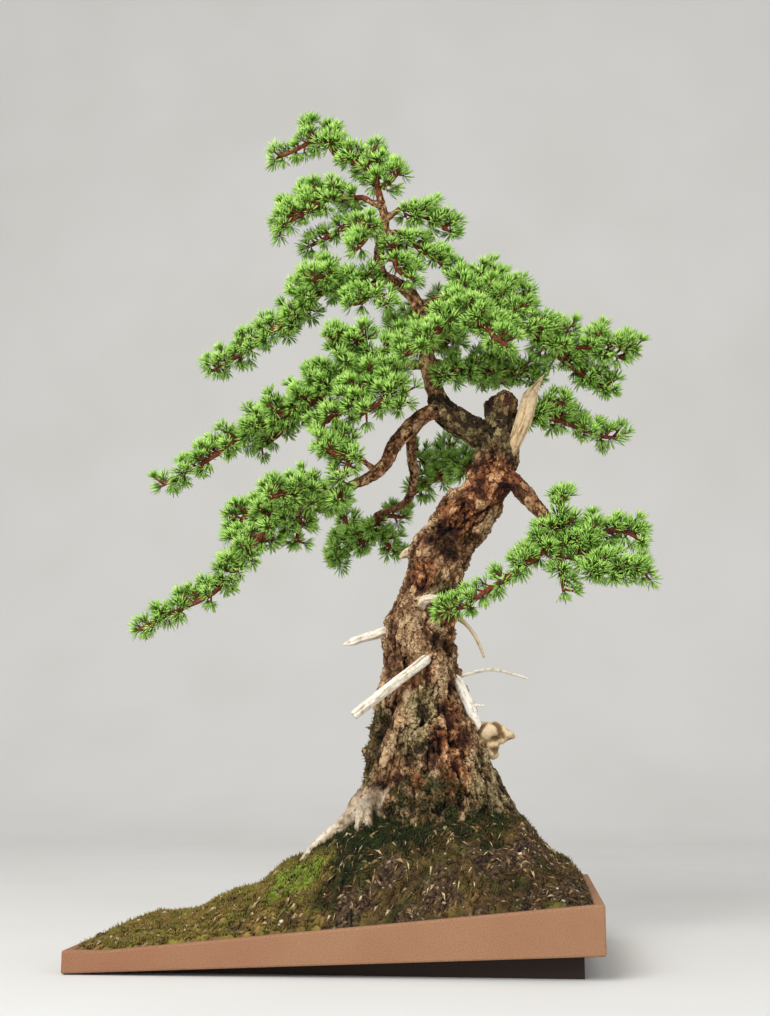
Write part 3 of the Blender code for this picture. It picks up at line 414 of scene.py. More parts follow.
def around(direction, roll):
    """A unit vector square to direction, turned by roll: 0 is level, a quarter turn is up."""
    level = direction.cross(Vector((0, 0, 1)))
    level = level.normalized() if level.length > 0.05 else Vector((1, 0, 0))
    return level * math.cos(roll) + level.cross(direction).normalized() * math.sin(roll)


def side_twigs(axis, base_reach, tip_reach, rng, first_at=FIRST_TWIG, turn=0.0):
    """Twigs along an axis, most of them level or rising, shorter towards its tip."""
    span = path_length(axis)
    twigs = []
    for number in range(int((span - first_at) / TWIG_EVERY) + 1):
        at = first_at + number * TWIG_EVERY
        start, forward = along(axis, at)
        share = (number * GOLDEN_SHARE + turn + rng.uniform(-0.06, 0.06)) % 1
        roll = math.radians(-62 + 304 * share)
        out = around(forward, roll)
        reach = (base_reach + (tip_reach - base_reach) * (at / span) ** 0.8) * rng.uniform(0.8, 1.1)
        reach *= 0.88 + 0.22 * math.sin(roll)
        first = (out * 0.85 + forward * 0.45).normalized()
        last = (first + Vector((0, 0, 0.2))).normalized()
        middle = start + first * reach * 0.5
        twigs.append([tuple(start), tuple(middle), tuple(middle + last * reach * 0.5)])
    return twigs


def frames(points):
    """Unit directions along a path and two vectors square to them, carried along it without twist."""
    points = np.asarray(points, float)
    ahead = np.gradient(points, axis=0)
    ahead /= np.linalg.norm(ahead, axis=1)[:, None]
    side = np.empty_like(ahead)
    last = np.cross(ahead[0], (0.31, 1.0, 0.17))
    for place, way in enumerate(ahead):
        last = last - way * last.dot(way)
        last /= np.linalg.norm(last)
        side[place] = last
    return ahead, side, np.cross(ahead, side)


# Meshes

def tube(path, sides):
    """Vertices and triangles of a closed tube round a path of (x, y, z, radius)."""
    path = np.asarray(path, float)
    ahead, side, up = frames(path[:, :3])
    turn = np.arange(sides) * (2 * math.pi / sides)
    ring = np.cos(turn)[None, :, None] * side[:, None] + np.sin(turn)[None, :, None] * up[:, None]
    rings = path[:, None, :3] + path[:, None, 3:4] * ring
    vertices = np.concatenate([rings.reshape(-1, 3), path[:1, :3], path[-1:, :3]])
    here = np.arange(sides)
    there = (here + 1) % sides
    triangles = []
    for row in range(len(path) - 1):
        a, b = row * sides + here, row * sides + there
        c, d = b + sides, a + sides
        triangles += [np.stack([a, b, c], 1), np.stack([a, c, d], 1)]
    whole = len(path) * sides
    end = whole - sides
    triangles.append(np.stack([there, here, np.full(sides, whole)], 1))
    triangles.append(np.stack([end + here, end + there, np.full(sides, whole + 1)], 1))
    return vertices, np.concatenate(triangles)


def joined(shells):
    """Several (vertices, triangles) as one."""
    start, vertices, triangles = 0, [], []
    for points, faces in shells:
        vertices.append(points)
        triangles.append(faces + start)
        start += len(points)
    return np.concatenate(vertices), np.concatenate(triangles)


def repeated(faces, corners, number):
    """The triangles of one small shape with so many corners, repeated for a number of them."""
    return (np.array(faces)[None] + corners * np.arange(number)[:, None, None]).reshape(-1, 3)


def square_to(ways):
    """Two unit vectors square to each way and to each other."""
    helper = np.where(np.abs(ways[:, 2:3]) < 0.8, (0.0, 0.0, 1.0), (1.0, 0.0, 0.0))
    side = np.cross(ways, helper)
    side /= np.linalg.norm(side, axis=1)[:, None]
    return side, np.cross(ways, side)


def placed(points):
    """Points in millimetres as one row of metres in the frame's place."""
    return (np.asarray(points) * MM + np.array(SHIFT)).ravel().astype(np.float32)


def solid(name, vertices, triangles):
    """A mesh in metres, in the frame's place, from vertices in millimetres and triangles."""
    mesh = bpy.data.meshes.new(name)
    mesh.vertices.add(len(vertices))
    mesh.vertices.foreach_set("co", placed(vertices))
    mesh.loops.add(3 * len(triangles))
    mesh.loops.foreach_set("vertex_index", np.asarray(triangles, np.int32).ravel())
    mesh.polygons.add(len(triangles))
    mesh.polygons.foreach_set("loop_start", np.arange(0, 3 * len(triangles), 3, dtype=np.int32))
    mesh.update(calc_edges=True)
    mesh.validate()
    return mesh


def store(mesh, **values):
    """Keeps one number for each vertex under each name, for the materials."""
    for name, numbers in values.items():
        layer = mesh.attributes.new(name, "FLOAT", "POINT")
        layer.data.foreach_set("value", np.asarray(numbers, np.float32))


def linked(name, data):
    """A new object in the scene that holds a mesh, a lamp or a camera."""
    made = bpy.data.objects.new(name, data)
    bpy.context.scene.collection.objects.link(made)
    return made


def settled(holder):
    """The mesh that an object's modifiers make; the object and its first mesh are removed."""
    made = bpy.data.meshes.new_from_object(holder.evaluated_get(bpy.context.evaluated_depsgraph_get()))
    first, name = holder.data, holder.name
    bpy.data.objects.remove(holder)
    bpy.data.meshes.remove(first)
    made.name = name
    return made


def skin(name, shells, voxel, smoothing=4):
    """One closed skin round overlapping shells: its vertices in millimetres, its normals and its mesh."""
    holder = linked(name, solid(name, *joined(shells)))
    remesh = holder.modifiers.new("Skin", "REMESH")
    remesh.mode = "VOXEL"
    remesh.voxel_size = voxel
    soften = holder.modifiers.new("Soften", "SMOOTH")
    soften.iterations = smoothing
    mesh = settled(holder)
    points = np.empty(3 * len(mesh.vertices), np.float32)
    mesh.vertices.foreach_get("co", points)
    normals = np.empty(3 * len(mesh.vertices), np.float32)
    mesh.vertex_normals.foreach_get("vector", normals)
    return (points.reshape(-1, 3) - np.array(SHIFT)) / MM, normals.reshape(-1, 3), mesh


def move_to(mesh, points):
    mesh.vertices.foreach_set("co", placed(points))
    mesh.update()


def thinned(mesh, share):
    """The mesh with fewer triangles where it is flat, down to this share of them."""
    holder = linked(mesh.name, mesh)
    fewer = holder.modifiers.new("Fewer", "DECIMATE")
    fewer.ratio = share
    return settled(holder)


def piece(name, mesh, materials, slot, *nodes):
    """Puts a mesh in the scene as a part of the bonsai, in place of the named CAD nodes."""
    made = linked(name, mesh)
    for look in materials:
        mesh.materials.append(look)
    print(name, len(mesh.loops) - 2 * len(mesh.polygons), "triangles")
    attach(made, "root")
    if nodes:
        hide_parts(*nodes)
    return made


# Materials

BLEND = {"data_type": "RGBA"}  # a Mix that goes from one colour to the other
MULTIPLY = {"data_type": "RGBA", "blend_type": "MULTIPLY"}  # a Mix that multiplies two colours


def add(tree, kind, inputs=None, stops=(), **settings):
    """Adds a shader node: inputs are values or sockets by name or place, stops a ramp's (place, colour)."""
    made = tree.nodes.new("ShaderNode" + kind)
    for name, value in settings.items():
        setattr(made, name, value)
    for place, (position, shade) in enumerate(stops):
        stop = made.color_ramp.elements[place] if place < 2 else made.color_ramp.elements.new(position)
        stop.position = position
        stop.color = srgb(shade) if isinstance(shade, str) else tuple(shade)
    for name, value in (inputs or {}).items():
        if isinstance(value, bpy.types.NodeSocket):
            tree.links.new(value, made.inputs[name])
        else:
            made.inputs[name].default_value = value
    return made


def material(name, roughness, specular=0.5):
    """A Principled material; gives it with its node tree and its shader."""
    made = bpy.data.materials.new(name)
    made.use_nodes = True
    shader = made.node_tree.nodes["Principled BSDF"]
    shader.inputs["Roughness"].default_value = roughness
    shader.inputs["Specular IOR Level"].default_value = specular
    return made, made.node_tree, shader


def bark_material(wood):
    """Larch bark, grown and weathered: dry flaking layers, tan outside and red-brown where they broke off,
    with painted shade in the cracks, under the flake rims and in the hollows.
    """
    made, tree, shader = material("weathered_larch_bark", 0.92, 0.25)
    names = ("open", "tone", "red", "olive", "moss", "pale")
    painted_shade, tone, red, olive, moss, pale = (
        add(tree, "Attribute", attribute_name=name).outputs["Fac"] for name in names
    )
    place = add(tree, "TexCoord").outputs["Object"]
    # scales: 1.3 mm chips, 10 mm patches, and scales of bark 7 mm across and 11 mm long with ragged outlines
    chips = add(tree, "TexNoise", {"Vector": place, "Scale": 760, "Detail": 4, "Roughness": 0.65})
    patches = add(tree, "TexNoise", {"Vector": place, "Scale": 100, "Detail": 4, "Roughness": 0.6})
    ragged = add(tree, "TexNoise", {"Vector": place, "Scale": 210, "Detail": 3, "Roughness": 0.6})
    bent = add(tree, "VectorMath", {0: ragged.outputs["Color"], 1: (0.011, 0.011, 0.011), 2: place},
               operation="MULTIPLY_ADD")
    drawn = add(tree, "VectorMath", {0: bent.outputs[0], 1: (1, 1, 0.65)}, operation="MULTIPLY")
    scales = add(tree, "TexVoronoi", {"Vector": drawn.outputs[0], "Scale": 135})
    gaps = add(tree, "TexVoronoi", {"Vector": drawn.outputs[0], "Scale": 135}, feature="DISTANCE_TO_EDGE")
    lift = add(tree, "MapRange", {0: scales.outputs["Color"], 1: 0.2, 2: 0.8, 3: -0.27, 4: 0.27})
    tone = add(tree, "Math", {0: tone, 1: lift.outputs[0]}, operation="ADD").outputs[0]
    weathered = add(tree, "ValToRGB", {0: tone}, [(0.0, "#43291a"), (0.22, "#694630"), (0.45, "#896849"),
                                                  (0.65, wood.plate_tan), (0.95, "#cdb08a")])
    broken = add(tree, "ValToRGB", {0: tone}, [(0.0, "#3d2016"), (0.4, wood.plate_red), (0.7, "#b0784c"),
                                              (0.95, "#dcae82")])
    body = add(tree, "Mix", {0: red, 6: weathered.outputs[0], 7: broken.outputs[0]}, **BLEND)
    lichen = add(tree, "ValToRGB", {0: tone}, [(0.1, "#332f1b"), (0.4, wood.lichen), (0.75, "#aca379")])
    film = add(tree, "Math", {0: olive, 1: 0.7}, operation="MULTIPLY")
    filmed = add(tree, "Mix", {0: film.outputs[0], 6: body.outputs[2], 7: lichen.outputs[0]}, **BLEND)
    green = add(tree, "ValToRGB", {0: chips.outputs["Fac"]}, [(0.35, "#1b1f0f"), (0.55, wood.moss),
                                                              (0.75, "#6f7440")])
    cover = add(tree, "MapRange", {0: patches.outputs["Fac"], 1: 0.62, 2: 0.38, 3: 0.25, 4: 1.0})
    cover = add(tree, "Math", {0: moss, 1: cover.outputs[0]}, operation="MULTIPLY")
    mossy = add(tree, "Mix", {0: cover.outputs[0], 6: filmed.outputs[2], 7: green.outputs[0]}, **BLEND)
    bare = add(tree, "ValToRGB", {0: patches.outputs["Fac"]}, [(0.35, "#c9b290"), (0.6, "#f6ecd6")])
    rooted = add(tree, "Mix", {0: pale, 6: mossy.outputs[2], 7: bare.outputs[0]}, **BLEND)
    # Painted shade: the open attribute darkens the cracks, the places under the flake rims and the sunk
    # hollows.
    deep = add(tree, "ValToRGB", {0: painted_shade}, [(0.0, "#21160e"), (0.3, "#5c4a3b"), (0.65, "#c2b4a6"),
                                               (1.0, "#ffffff")])
    shaded = add(tree, "Mix", {0: 1.0, 6: rooted.outputs[2], 7: deep.outputs[0]}, **MULTIPLY)
    speckle = add(tree, "ValToRGB", {0: chips.outputs["Fac"]}, [(0.3, "#8d8379"), (0.5, "#f2efeb"),
                                                                (0.7, "#ffffff")])
    speckled = add(tree, "Mix", {0: 0.7, 6: shaded.outputs[2], 7: speckle.outputs[0]}, **MULTIPLY)
    # Painted shade in the thin furrows along the edges of the bark scales.
    seam_shade = add(tree, "ValToRGB", {0: gaps.outputs["Distance"]}, [(0.0, "#453529"), (0.04, "#9a8b7d"),
                                                                  (0.1, "#ffffff")])
    seamed = add(tree, "Math", {0: 0.78, 1: pale}, operation="SUBTRACT", use_clamp=True)
    seam_shaded = add(tree, "Mix", {0: seamed.outputs[0], 6: speckled.outputs[2], 7: seam_shade.outputs[0]}, **MULTIPLY)
    tree.links.new(seam_shaded.outputs[2], shader.inputs["Base Color"])
    fine = add(tree, "Bump", {"Height": chips.outputs["Fac"], "Strength": 0.6, "Distance": 0.0009})
    steps = add(tree, "Math", {0: seamed.outputs[0], 1: lift.outputs[0]}, operation="MULTIPLY")
    bump = add(tree, "Bump", {"Height": steps.outputs[0], "Strength": 0.9, "Distance": 0.005,
                              "Normal": fine.outputs[0]})
    tree.links.new(bump.outputs[0], shader.inputs["Normal"])
    return made


def deadwood_material(dead):
    """Bleached larch heartwood: silvery fibres with grey-tan cracks, matt from years of rain."""
    made, tree, shader = material("bleached_larch_wood", 0.8, 0.3)
    fibre = add(tree, "Attribute", attribute_name="fibre").outputs["Fac"]
    warm = add(tree, "Attribute", attribute_name="warm").outputs["Fac"]
    place = add(tree, "TexCoord").outputs["Object"]
    # scale: 4 mm weather stains
    stains = add(tree, "TexNoise", {"Vector": place, "Scale": 250, "Detail": 3, "Roughness": 0.6})
    # Its low end also gives the painted shade in the burl's grooves.
    grain = add(tree, "ValToRGB", {0: fibre}, [(0.0, "#7d6b55"), (0.3, dead.weathered), (0.62, "#ddd2bc"),
                                               (0.9, dead.bleached)])
    burl = add(tree, "Mix", {0: warm, 6: grain.outputs[0], 7: dead.burl}, **MULTIPLY)
    stain = add(tree, "ValToRGB", {0: stains.outputs["Fac"]}, [(0.32, "#a3927c"), (0.5, "#ffffff")])
    stained = add(tree, "Mix", {0: 0.6, 6: burl.outputs[2], 7: stain.outputs[0]}, **MULTIPLY)
    tree.links.new(stained.outputs[2], shader.inputs["Base Color"])
    bump = add(tree, "Bump", {"Height": stains.outputs["Fac"], "Strength": 0.25, "Distance": 0.0004})
    tree.links.new(bump.outputs[0], shader.inputs["Normal"])
    return made


def needle_material(needles):
    """Fresh larch needles: soft, thin and slightly waxy, darker at the foot with painted shade for the
    rosette's crowded middle, and lighter towards the tip with painted light for the light that shines through
    them.
    """
    made, tree, shader = material("fresh_larch_needle", 0.5, 0.35)
    along_needle = add(tree, "Attribute", attribute_name="along").outputs["Fac"]
    tint = add(tree, "Attribute", attribute_name="tint").outputs["Fac"]
    # Painted shade at each needle's foot and painted light towards its tip.
    green = add(tree, "ValToRGB", {0: along_needle}, [(0.0, needles.inner), (0.45, "#b2e169"),
                                                      (1.0, needles.outer)])
    shade = add(tree, "ValToRGB", {0: tint}, [(0.0, "#a9c48a"), (0.5, "#e6f0cb"), (1.0, "#fffff0")])
    tinted = add(tree, "Mix", {0: 1.0, 6: green.outputs[0], 7: shade.outputs[0]}, **MULTIPLY)
    tree.links.new(tinted.outputs[2], shader.inputs["Base Color"])
    return made


def twig_material(needles):
    """Young larch bark: thin, reddish brown, ringed by old bud scars."""
    made, tree, shader = material("young_larch_bark", 0.85, 0.3)
    place = add(tree, "TexCoord").outputs["Object"]
    # scales: 2 mm bud scars and 8 mm patches
    scars = add(tree, "TexNoise", {"Vector": place, "Scale": 480, "Detail": 3, "Roughness": 0.6})
    patches = add(tree, "TexNoise", {"Vector": place, "Scale": 120, "Detail": 2})
    brown = add(tree, "ValToRGB", {0: scars.outputs["Fac"]}, [(0.3, "#321810"), (0.5, needles.twig),
                                                              (0.72, "#9c6344")])
    grey = add(tree, "ValToRGB", {0: patches.outputs["Fac"]}, [(0.35, "#ffffff"), (0.7, "#c9b3a4")])
    mixed = add(tree, "Mix", {0: 0.8, 6: brown.outputs[0], 7: grey.outputs[0]}, **MULTIPLY)
    tree.links.new(mixed.outputs[2], shader.inputs["Base Color"])
    bump = add(tree, "Bump", {"Height": scars.outputs["Fac"], "Strength": 0.6, "Distance": 0.0006})
    tree.links.new(bump.outputs[0], shader.inputs["Normal"])
    return made


def moss_green(tree, soil):
    """The moss's colour: dark olive in painted shade, yellow-green in painted light, partly the yellower
    colour of moss grown in sun, and brown where it has dried.
    """
    sun = add(tree, "Attribute", attribute_name="sun").outputs["Fac"]
    dry = add(tree, "Attribute", attribute_name="dry").outputs["Fac"]
    fresh = add(tree, "ValToRGB", {0: sun}, [(0.0, soil.moss_dark), (0.78, soil.moss_bright),
                                             (1.0, soil.moss_fresh)])
    browned = add(tree, "ValToRGB", {0: sun}, [(0.2, soil.moss_dry), (0.8, "#aa864c")])
    return add(tree, "Mix", {0: dry, 6: fresh.outputs[0], 7: browned.outputs[0]}, **BLEND).outputs[2]


def soil_material(soil):
    """Damp potting grit: matt grains, with painted shade in the creases between moss cushions and clods, and
    green where a mat of moss has closed.
    """
    made, tree, shader = material("mossy_potting_grit", 0.95, 0.2)
    moss = add(tree, "Attribute", attribute_name="moss").outputs["Fac"]
    crown = add(tree, "Attribute", attribute_name="crown").outputs["Fac"]
    place = add(tree, "TexCoord").outputs["Object"]
    # scales: 2 mm grains and 12 mm patches
    grains = add(tree, "TexVoronoi", {"Vector": place, "Scale": 450})
    patches = add(tree, "TexNoise", {"Vector": place, "Scale": 85, "Detail": 4})
    earth = add(tree, "ValToRGB", {0: grains.outputs["Color"]}, [(0.1, "#1f1711"), (0.45, soil.earth),
                                                                 (0.8, "#5f4d37"), (0.98, "#a8977a")])
    mottled = add(tree, "ValToRGB", {0: patches.outputs["Fac"]}, [(0.3, "#6f6a55"), (0.65, "#ffffff")])
    mossy = add(tree, "Mix", {0: 0.9, 6: moss_green(tree, soil), 7: mottled.outputs[0]}, **MULTIPLY)
    mixed = add(tree, "Mix", {0: moss, 6: earth.outputs[0], 7: mossy.outputs[2]}, **BLEND)
    # Painted shade in the creases: darker where a place sits low on its moss cushion or clod.
    crease_shade = add(tree, "ValToRGB", {0: crown}, [(0.15, "#3b342b"), (0.55, "#ffffff")])
    mixed = add(tree, "Mix", {0: 1.0, 6: mixed.outputs[2], 7: crease_shade.outputs[0]}, **MULTIPLY)
    tree.links.new(mixed.outputs[2], shader.inputs["Base Color"])
    bump = add(tree, "Bump", {"Height": grains.outputs["Distance"], "Strength": 0.6, "Distance": 0.0012})
    tree.links.new(bump.outputs[0], shader.inputs["Normal"])
    return made


def moss_material(soil):
    """Cushion moss: soft leaves, dark olive in painted shade and yellow-green in painted light, partly the
    yellower colour of moss grown in sun.
    """
    made, tree, shader = material("cushion_moss", 0.8, 0.25)
    tint = add(tree, "Attribute", attribute_name="tint").outputs["Fac"]
    shade = add(tree, "ValToRGB", {0: tint}, [(0.0, "#7d7457"), (0.5, "#d9dcc0"), (1.0, "#ffffff")])
    tinted = add(tree, "Mix", {0: 1.0, 6: moss_green(tree, soil), 7: shade.outputs[0]}, **MULTIPLY)
    tree.links.new(tinted.outputs[2], shader.inputs["Base Color"])
    return made


def grit_material():
    """Crushed pumice, lava and fired clay grit: dull broken grains, from near black to white."""
    made, tree, shader = material("crushed_potting_stone", 0.9, 0.3)
    tint = add(tree, "Attribute", attribute_name="tint").outputs["Fac"]
    place = add(tree, "TexCoord").outputs["Object"]
    # scale: half-millimetre pores
    pores = add(tree, "TexNoise", {"Vector": place, "Scale": 1800, "Detail": 3})
    stone = add(tree, "ValToRGB", {0: tint}, [(0.0, "#241b15"), (0.35, "#4d3826"), (0.65, "#73583c"),
                                              (0.84, "#a08a6c"), (0.95, "#e4d9c2")])
    pitted = add(tree, "ValToRGB", {0: pores.outputs["Fac"]}, [(0.3, "#8c8c8c"), (0.6, "#ffffff")])
    mixed = add(tree, "Mix", {0: 0.7, 6: stone.outputs[0], 7: pitted.outputs[0]}, **MULTIPLY)
    tree.links.new(mixed.outputs[2], shader.inputs["Base Color"])
    return made


def litter_material():
    """Dead larch needles and root threads: dry, matt, straw to dark brown."""
    made, tree, shader = material("dry_larch_litter", 0.85, 0.25)
    tint = add(tree, "Attribute", attribute_name="tint").outputs["Fac"]
    place = add(tree, "TexCoord").outputs["Object"]
    # scale: 1 mm blotches
    blotches = add(tree, "TexNoise", {"Vector": place, "Scale": 1000, "Detail": 2})
    straw = add(tree, "ValToRGB", {0: tint}, [(0.0, "#2a1d12"), (0.4, "#5d432a"), (0.75, "#99774c"),
                                              (1.0, "#dcc498")])
    dull = add(tree, "ValToRGB", {0: blotches.outputs["Fac"]}, [(0.3, "#a8a096"), (0.6, "#ffffff")])
    mixed = add(tree, "Mix", {0: 0.8, 6: straw.outputs[0], 7: dull.outputs[0]}, **MULTIPLY)
    tree.links.new(mixed.outputs[2], shader.inputs["Base Color"])
    return made


def stoneware_material(tray):
    """Unglazed stoneware, slab-built from grogged clay and fired: dry, sandy, pinkish brown, dark specks,
    with painted shade on its feet and underside.
    """
    made, tree, shader = material("unglazed_stoneware", 0.82, 0.35)
    place = add(tree, "TexCoord").outputs["Object"]
    # scales: 0.9 mm sand, 2.2 mm specks and 90 mm kiln clouds
    sand = add(tree, "TexNoise", {"Vector": place, "Scale": 1100, "Detail": 3, "Roughness": 0.7})
    specks = add(tree, "TexVoronoi", {"Vector": place, "Scale": 450, "Randomness": 1.0})
    clouds = add(tree, "TexNoise", {"Vector": place, "Scale": 11, "Detail": 4, "Roughness": 0.6})
    across = add(tree, "SeparateXYZ", {0: place}).outputs[0]
    leftward = add(tree, "MapRange", {0: across, 1: 0.0, 2: -0.26, 3: 0.0, 4: 0.6})
    cloudy = add(tree, "MapRange", {0: clouds.outputs["Fac"], 1: 0.35, 2: 0.65, 3: 0.0, 4: 0.5})
    redder = add(tree, "Math", {0: leftward.outputs[0], 1: cloudy.outputs[0]}, operation="ADD")
    body = add(tree, "Mix", {0: redder.outputs[0], 6: tray.clay, 7: tray.clay_red}, **BLEND)
    grain = add(tree, "ValToRGB", {0: sand.outputs["Fac"]}, [(0.3, "#948c86"), (0.5, "#e6e6e6"),
                                                             (0.7, "#ffffff")])
    sandy = add(tree, "Mix", {0: 0.8, 6: body.outputs[2], 7: grain.outputs[0]}, **MULTIPLY)
    dark = add(tree, "ValToRGB", {0: specks.outputs["Distance"]}, [(0.12, "#ffffff"), (0.22, "#000000")])
    some = add(tree, "ValToRGB", {0: specks.outputs["Color"]}, [(0.28, "#ffffff"), (0.3, "#000000")])
    speck = add(tree, "Math", {0: dark.outputs[0], 1: some.outputs[0]}, operation="MULTIPLY")
    speck = add(tree, "Math", {0: speck.outputs[0], 1: 0.65}, operation="MULTIPLY")
    specked = add(tree, "Mix", {0: speck.outputs[0], 6: sandy.outputs[2], 7: tray.specks}, **BLEND)
    # Painted shade: everything below the plane of the underside, the feet and the underside itself, takes the
    # dark colour.
    spot = add(tree, "SeparateXYZ", {0: add(tree, "NewGeometry").outputs["Position"]}).outputs
    climb = (UNDERSIDE_RIGHT - UNDERSIDE_LEFT) / TRAY_WIDTH
    level = UNDERSIDE_LEFT + climb * (TRAY_WIDTH / 2 - SHIFT.x) + TOUCH
    under = add(tree, "Math", {0: spot[0], 1: climb, 2: level}, operation="MULTIPLY_ADD")
    foot = add(tree, "Math", {0: spot[2], 1: under.outputs[0]}, operation="LESS_THAN")
    underside_shaded = add(tree, "Mix", {0: foot.outputs[0], 6: specked.outputs[2], 7: tray.underside_shade}, **BLEND)
    tree.links.new(underside_shaded.outputs[2], shader.inputs["Base Color"])
    bump = add(tree, "Bump", {"Height": sand.outputs["Fac"], "Strength": 0.55, "Distance": 0.0006})
    tree.links.new(bump.outputs[0], shader.inputs["Normal"])
    return made


def screen_material():
    """Moulded polypropylene mesh: black and slightly glossy, with a fine moulded grain."""
    made, tree, shader = material("moulded_polypropylene", 0.45)
    place = add(tree, "TexCoord").outputs["Object"]
    # scale: 0.6 mm grain
    grain = add(tree, "TexNoise", {"Vector": place, "Scale": 1600})
    black = add(tree, "ValToRGB", {0: grain.outputs["Fac"]}, [(0.3, "#101010"), (0.7, "#222222")])
    tree.links.new(black.outputs[0], shader.inputs["Base Color"])
    bump = add(tree, "Bump", {"Height": grain.outputs["Fac"], "Strength": 0.2, "Distance": 0.0002})
    tree.links.new(bump.outputs[0], shader.inputs["Normal"])
    return made


def floor_material(stage):
    """Matt pale paper."""
    made, tree, shader = material("pale_paper", 0.95, 0.2)
    place = add(tree, "TexCoord").outputs["Object"]
    tooth = add(tree, "TexNoise", {"Vector": place, "Scale": 3})
    paper = add(tree, "ValToRGB", {0: tooth.outputs["Fac"]}, [(0.3, stage.floor), (0.7, "#dedcd8")])
    tree.links.new(paper.outputs[0], shader.inputs["Base Color"])
    return made


# Wood

def bark_relief(point):
    """The relief of the trunk's solid: broad ridges, knobs and a few deep hollows, in metres."""
    across, up = BARK_RIDGES
    ridges = noise.noise(Vector((point.x * across, point.y * across, point.z * up)))
    knobs = noise.noise(point * BARK_KNOBS)
    fade = min(1.0, max(0.0, (point.z - BARK_FROM) / (BARK_FULL - BARK_FROM)))
    relief = BARK_RELIEF * fade * (1.5 * ridges + knobs)
    for x, y, z, spread, depth in HOLLOWS:
        relief -= depth * MM * math.exp(-(((point / MM - Vector((x, y, z))).length / spread) ** 2))
    return relief


class Skeleton:
    """Samples along many paths, to find for any surface point the path it belongs to and its place on it."""

    def __init__(self, paths):
        parts = [np.asarray(path, float) for path in paths]
        self.centre = np.concatenate([part[:, :3] for part in parts])
        self.radius = np.concatenate([part[:, 3] for part in parts])
        self.number = np.concatenate([np.full(len(part), n) for n, part in enumerate(parts)])
        basis = [frames(part[:, :3]) for part in parts]
        self.ahead, self.side, self.up = (np.concatenate([b[i] for b in basis]) for i in range(3))
        steps = [np.linalg.norm(np.diff(part[:, :3], axis=0), axis=1) for part in parts]
        self.run = np.concatenate([np.concatenate([[0], np.cumsum(found)]) for found in steps])

    def read(self, points):
        """For each point: its path's number, its place on that path in millimetres and the radius there."""
        best = np.empty(len(points), int)
        for start in range(0, len(points), 4000):
            some = points[start : start + 4000]
            apart = np.linalg.norm(some[:, None] - self.centre[None], axis=2)
            best[start : start + 4000] = np.argmin(np.abs(apart - self.radius[None]) + 0.15 * apart, axis=1)
        off = points - self.centre[best]
        local = np.stack([
            (off * self.side[best]).sum(1), (off * self.up[best]).sum(1),
            self.run[best] + (off * self.ahead[best]).sum(1),
        ], 1)
        return self.number[best], local, self.radius[best]


def step(low, high, value):
    """0 below low, 1 above high, and smooth between."""
    share = np.clip((value - low) / (high - low), 0, 1)
    return share * share * (3 - 2 * share)


def flakes(local, size, stretch, seed):
    """Warped noise over local places, drawn out along the third axis, about -1 to 1."""
    offset = Vector((seed * 7.1, seed * 3.7, seed * 5.3))
    noise.seed_set(SEED)  # without it, the warp would start from the clock and differ in every run
    found = np.empty(len(local))
    for place, (a, b, s) in enumerate(local):
        at = Vector((a, b, s / stretch)) / size + offset
        found[place] = noise.fractal(at + 0.5 * noise.noise_vector(at * 0.8), 0.9, 2.1, 3)
    return found


def terraces(values, count, rim):
    """Values stepped into layers with steep rims, and how close below a rim each place is."""
    layer = np.floor(values * count)
    part = values * count - layer
    return (layer + step(0, rim, part)) / count, step(1 - 1.4 * rim, 1.0, part)


def rough(local, size, seed):
    """Even noise over local places, about -1 to 1."""
    offset = Vector((seed * 2.3, seed * 9.1, seed * 4.9))
    return np.array([noise.noise(Vector((a, b, s)) / size + offset) for a, b, s in local])


# Places on the bark, as x, y, z and spread in millimetres: flaked to red, under olive lichen, sunk hollows
# with painted shade, darker round the torn top with painted shade under the right limb, mossy, and lighter
# than the rest
RED_PATCHES = [
    (104, -50, 205, 20), (107, -40, 240, 17), (112, -22, 300, 14), (62, -32, 262, 12), (140, -14, 468, 30),
    (112, -20, 432, 22), (70, -56, 165, 9), (74, -28, 370, 14), (108, -52, 172, 16), (100, -20, 330, 12),
    (99, -46, 222, 9), (101, -34, 276, 9), (102, -34, 294, 9),
]
OLIVE_PATCHES = [
    (80, -48, 240, 22), (70, -50, 205, 18), (148, 0, 520, 34), (95, -26, 345, 16), (138, -26, 165, 30),
]
SHADED_HOLLOW_PATCHES = [
    (99, -26, 402, 17), (88, -32, 303, 9), (29, -32, 208, 15), (21, -27, 184, 12), (37, -38, 220, 9),
    (36, -40, 188, 9),
]
# Darker round the torn top, with painted shade under the right limb.
DARKER_AND_SHADED_PATCHES = [(160, 0, 512, 30), (156, 4, 548, 34), (180, -8, 458, 20)]
MOSS_PATCHES = [(26, -18, 212, 30), (22, -14, 180, 32), (90, -62, 150, 26), (60, -56, 150, 18)]
LIGHT_PATCHES = [
    (59, -48, 225, 12), (45, -55, 200, 13), (31, -58, 176, 15), (84, -30, 345, 10), (134, -28, 166, 22),
    (66, -30, 312, 16),
]


def near(points, patches):
    """How close each point is to any of the patches, from 0 to 1, with ragged edges."""
    ragged = 1 + 0.35 * rough(points, 12, 31) + 0.25 * rough(points, 4, 32)
    found = np.zeros(len(points))
    for x, y, z, spread in patches:
        apart = np.linalg.norm(points - (x, y, z), axis=1) * ragged
        found = np.maximum(found, step(1.35 * spread, 0.7 * spread, apart))
    return found


def spikes(foot, way, tall, wide, turn):
    """Three-sided spikes in millimetres: each stands on its foot and points its way."""
    u, v = square_to(way)
    corners = []
    for third in (0, 2.094, 4.189):
        out = u * np.cos(turn + third)[:, None] + v * np.sin(turn + third)[:, None]
        corners.append(foot - 0.6 * way + out * wide[:, None])
    vertices = np.stack([*corners, foot + way * tall[:, None]], 1).reshape(-1, 3)
    return vertices, repeated([(0, 2, 1), (0, 1, 3), (1, 2, 3), (2, 0, 3)], 4, len(foot))


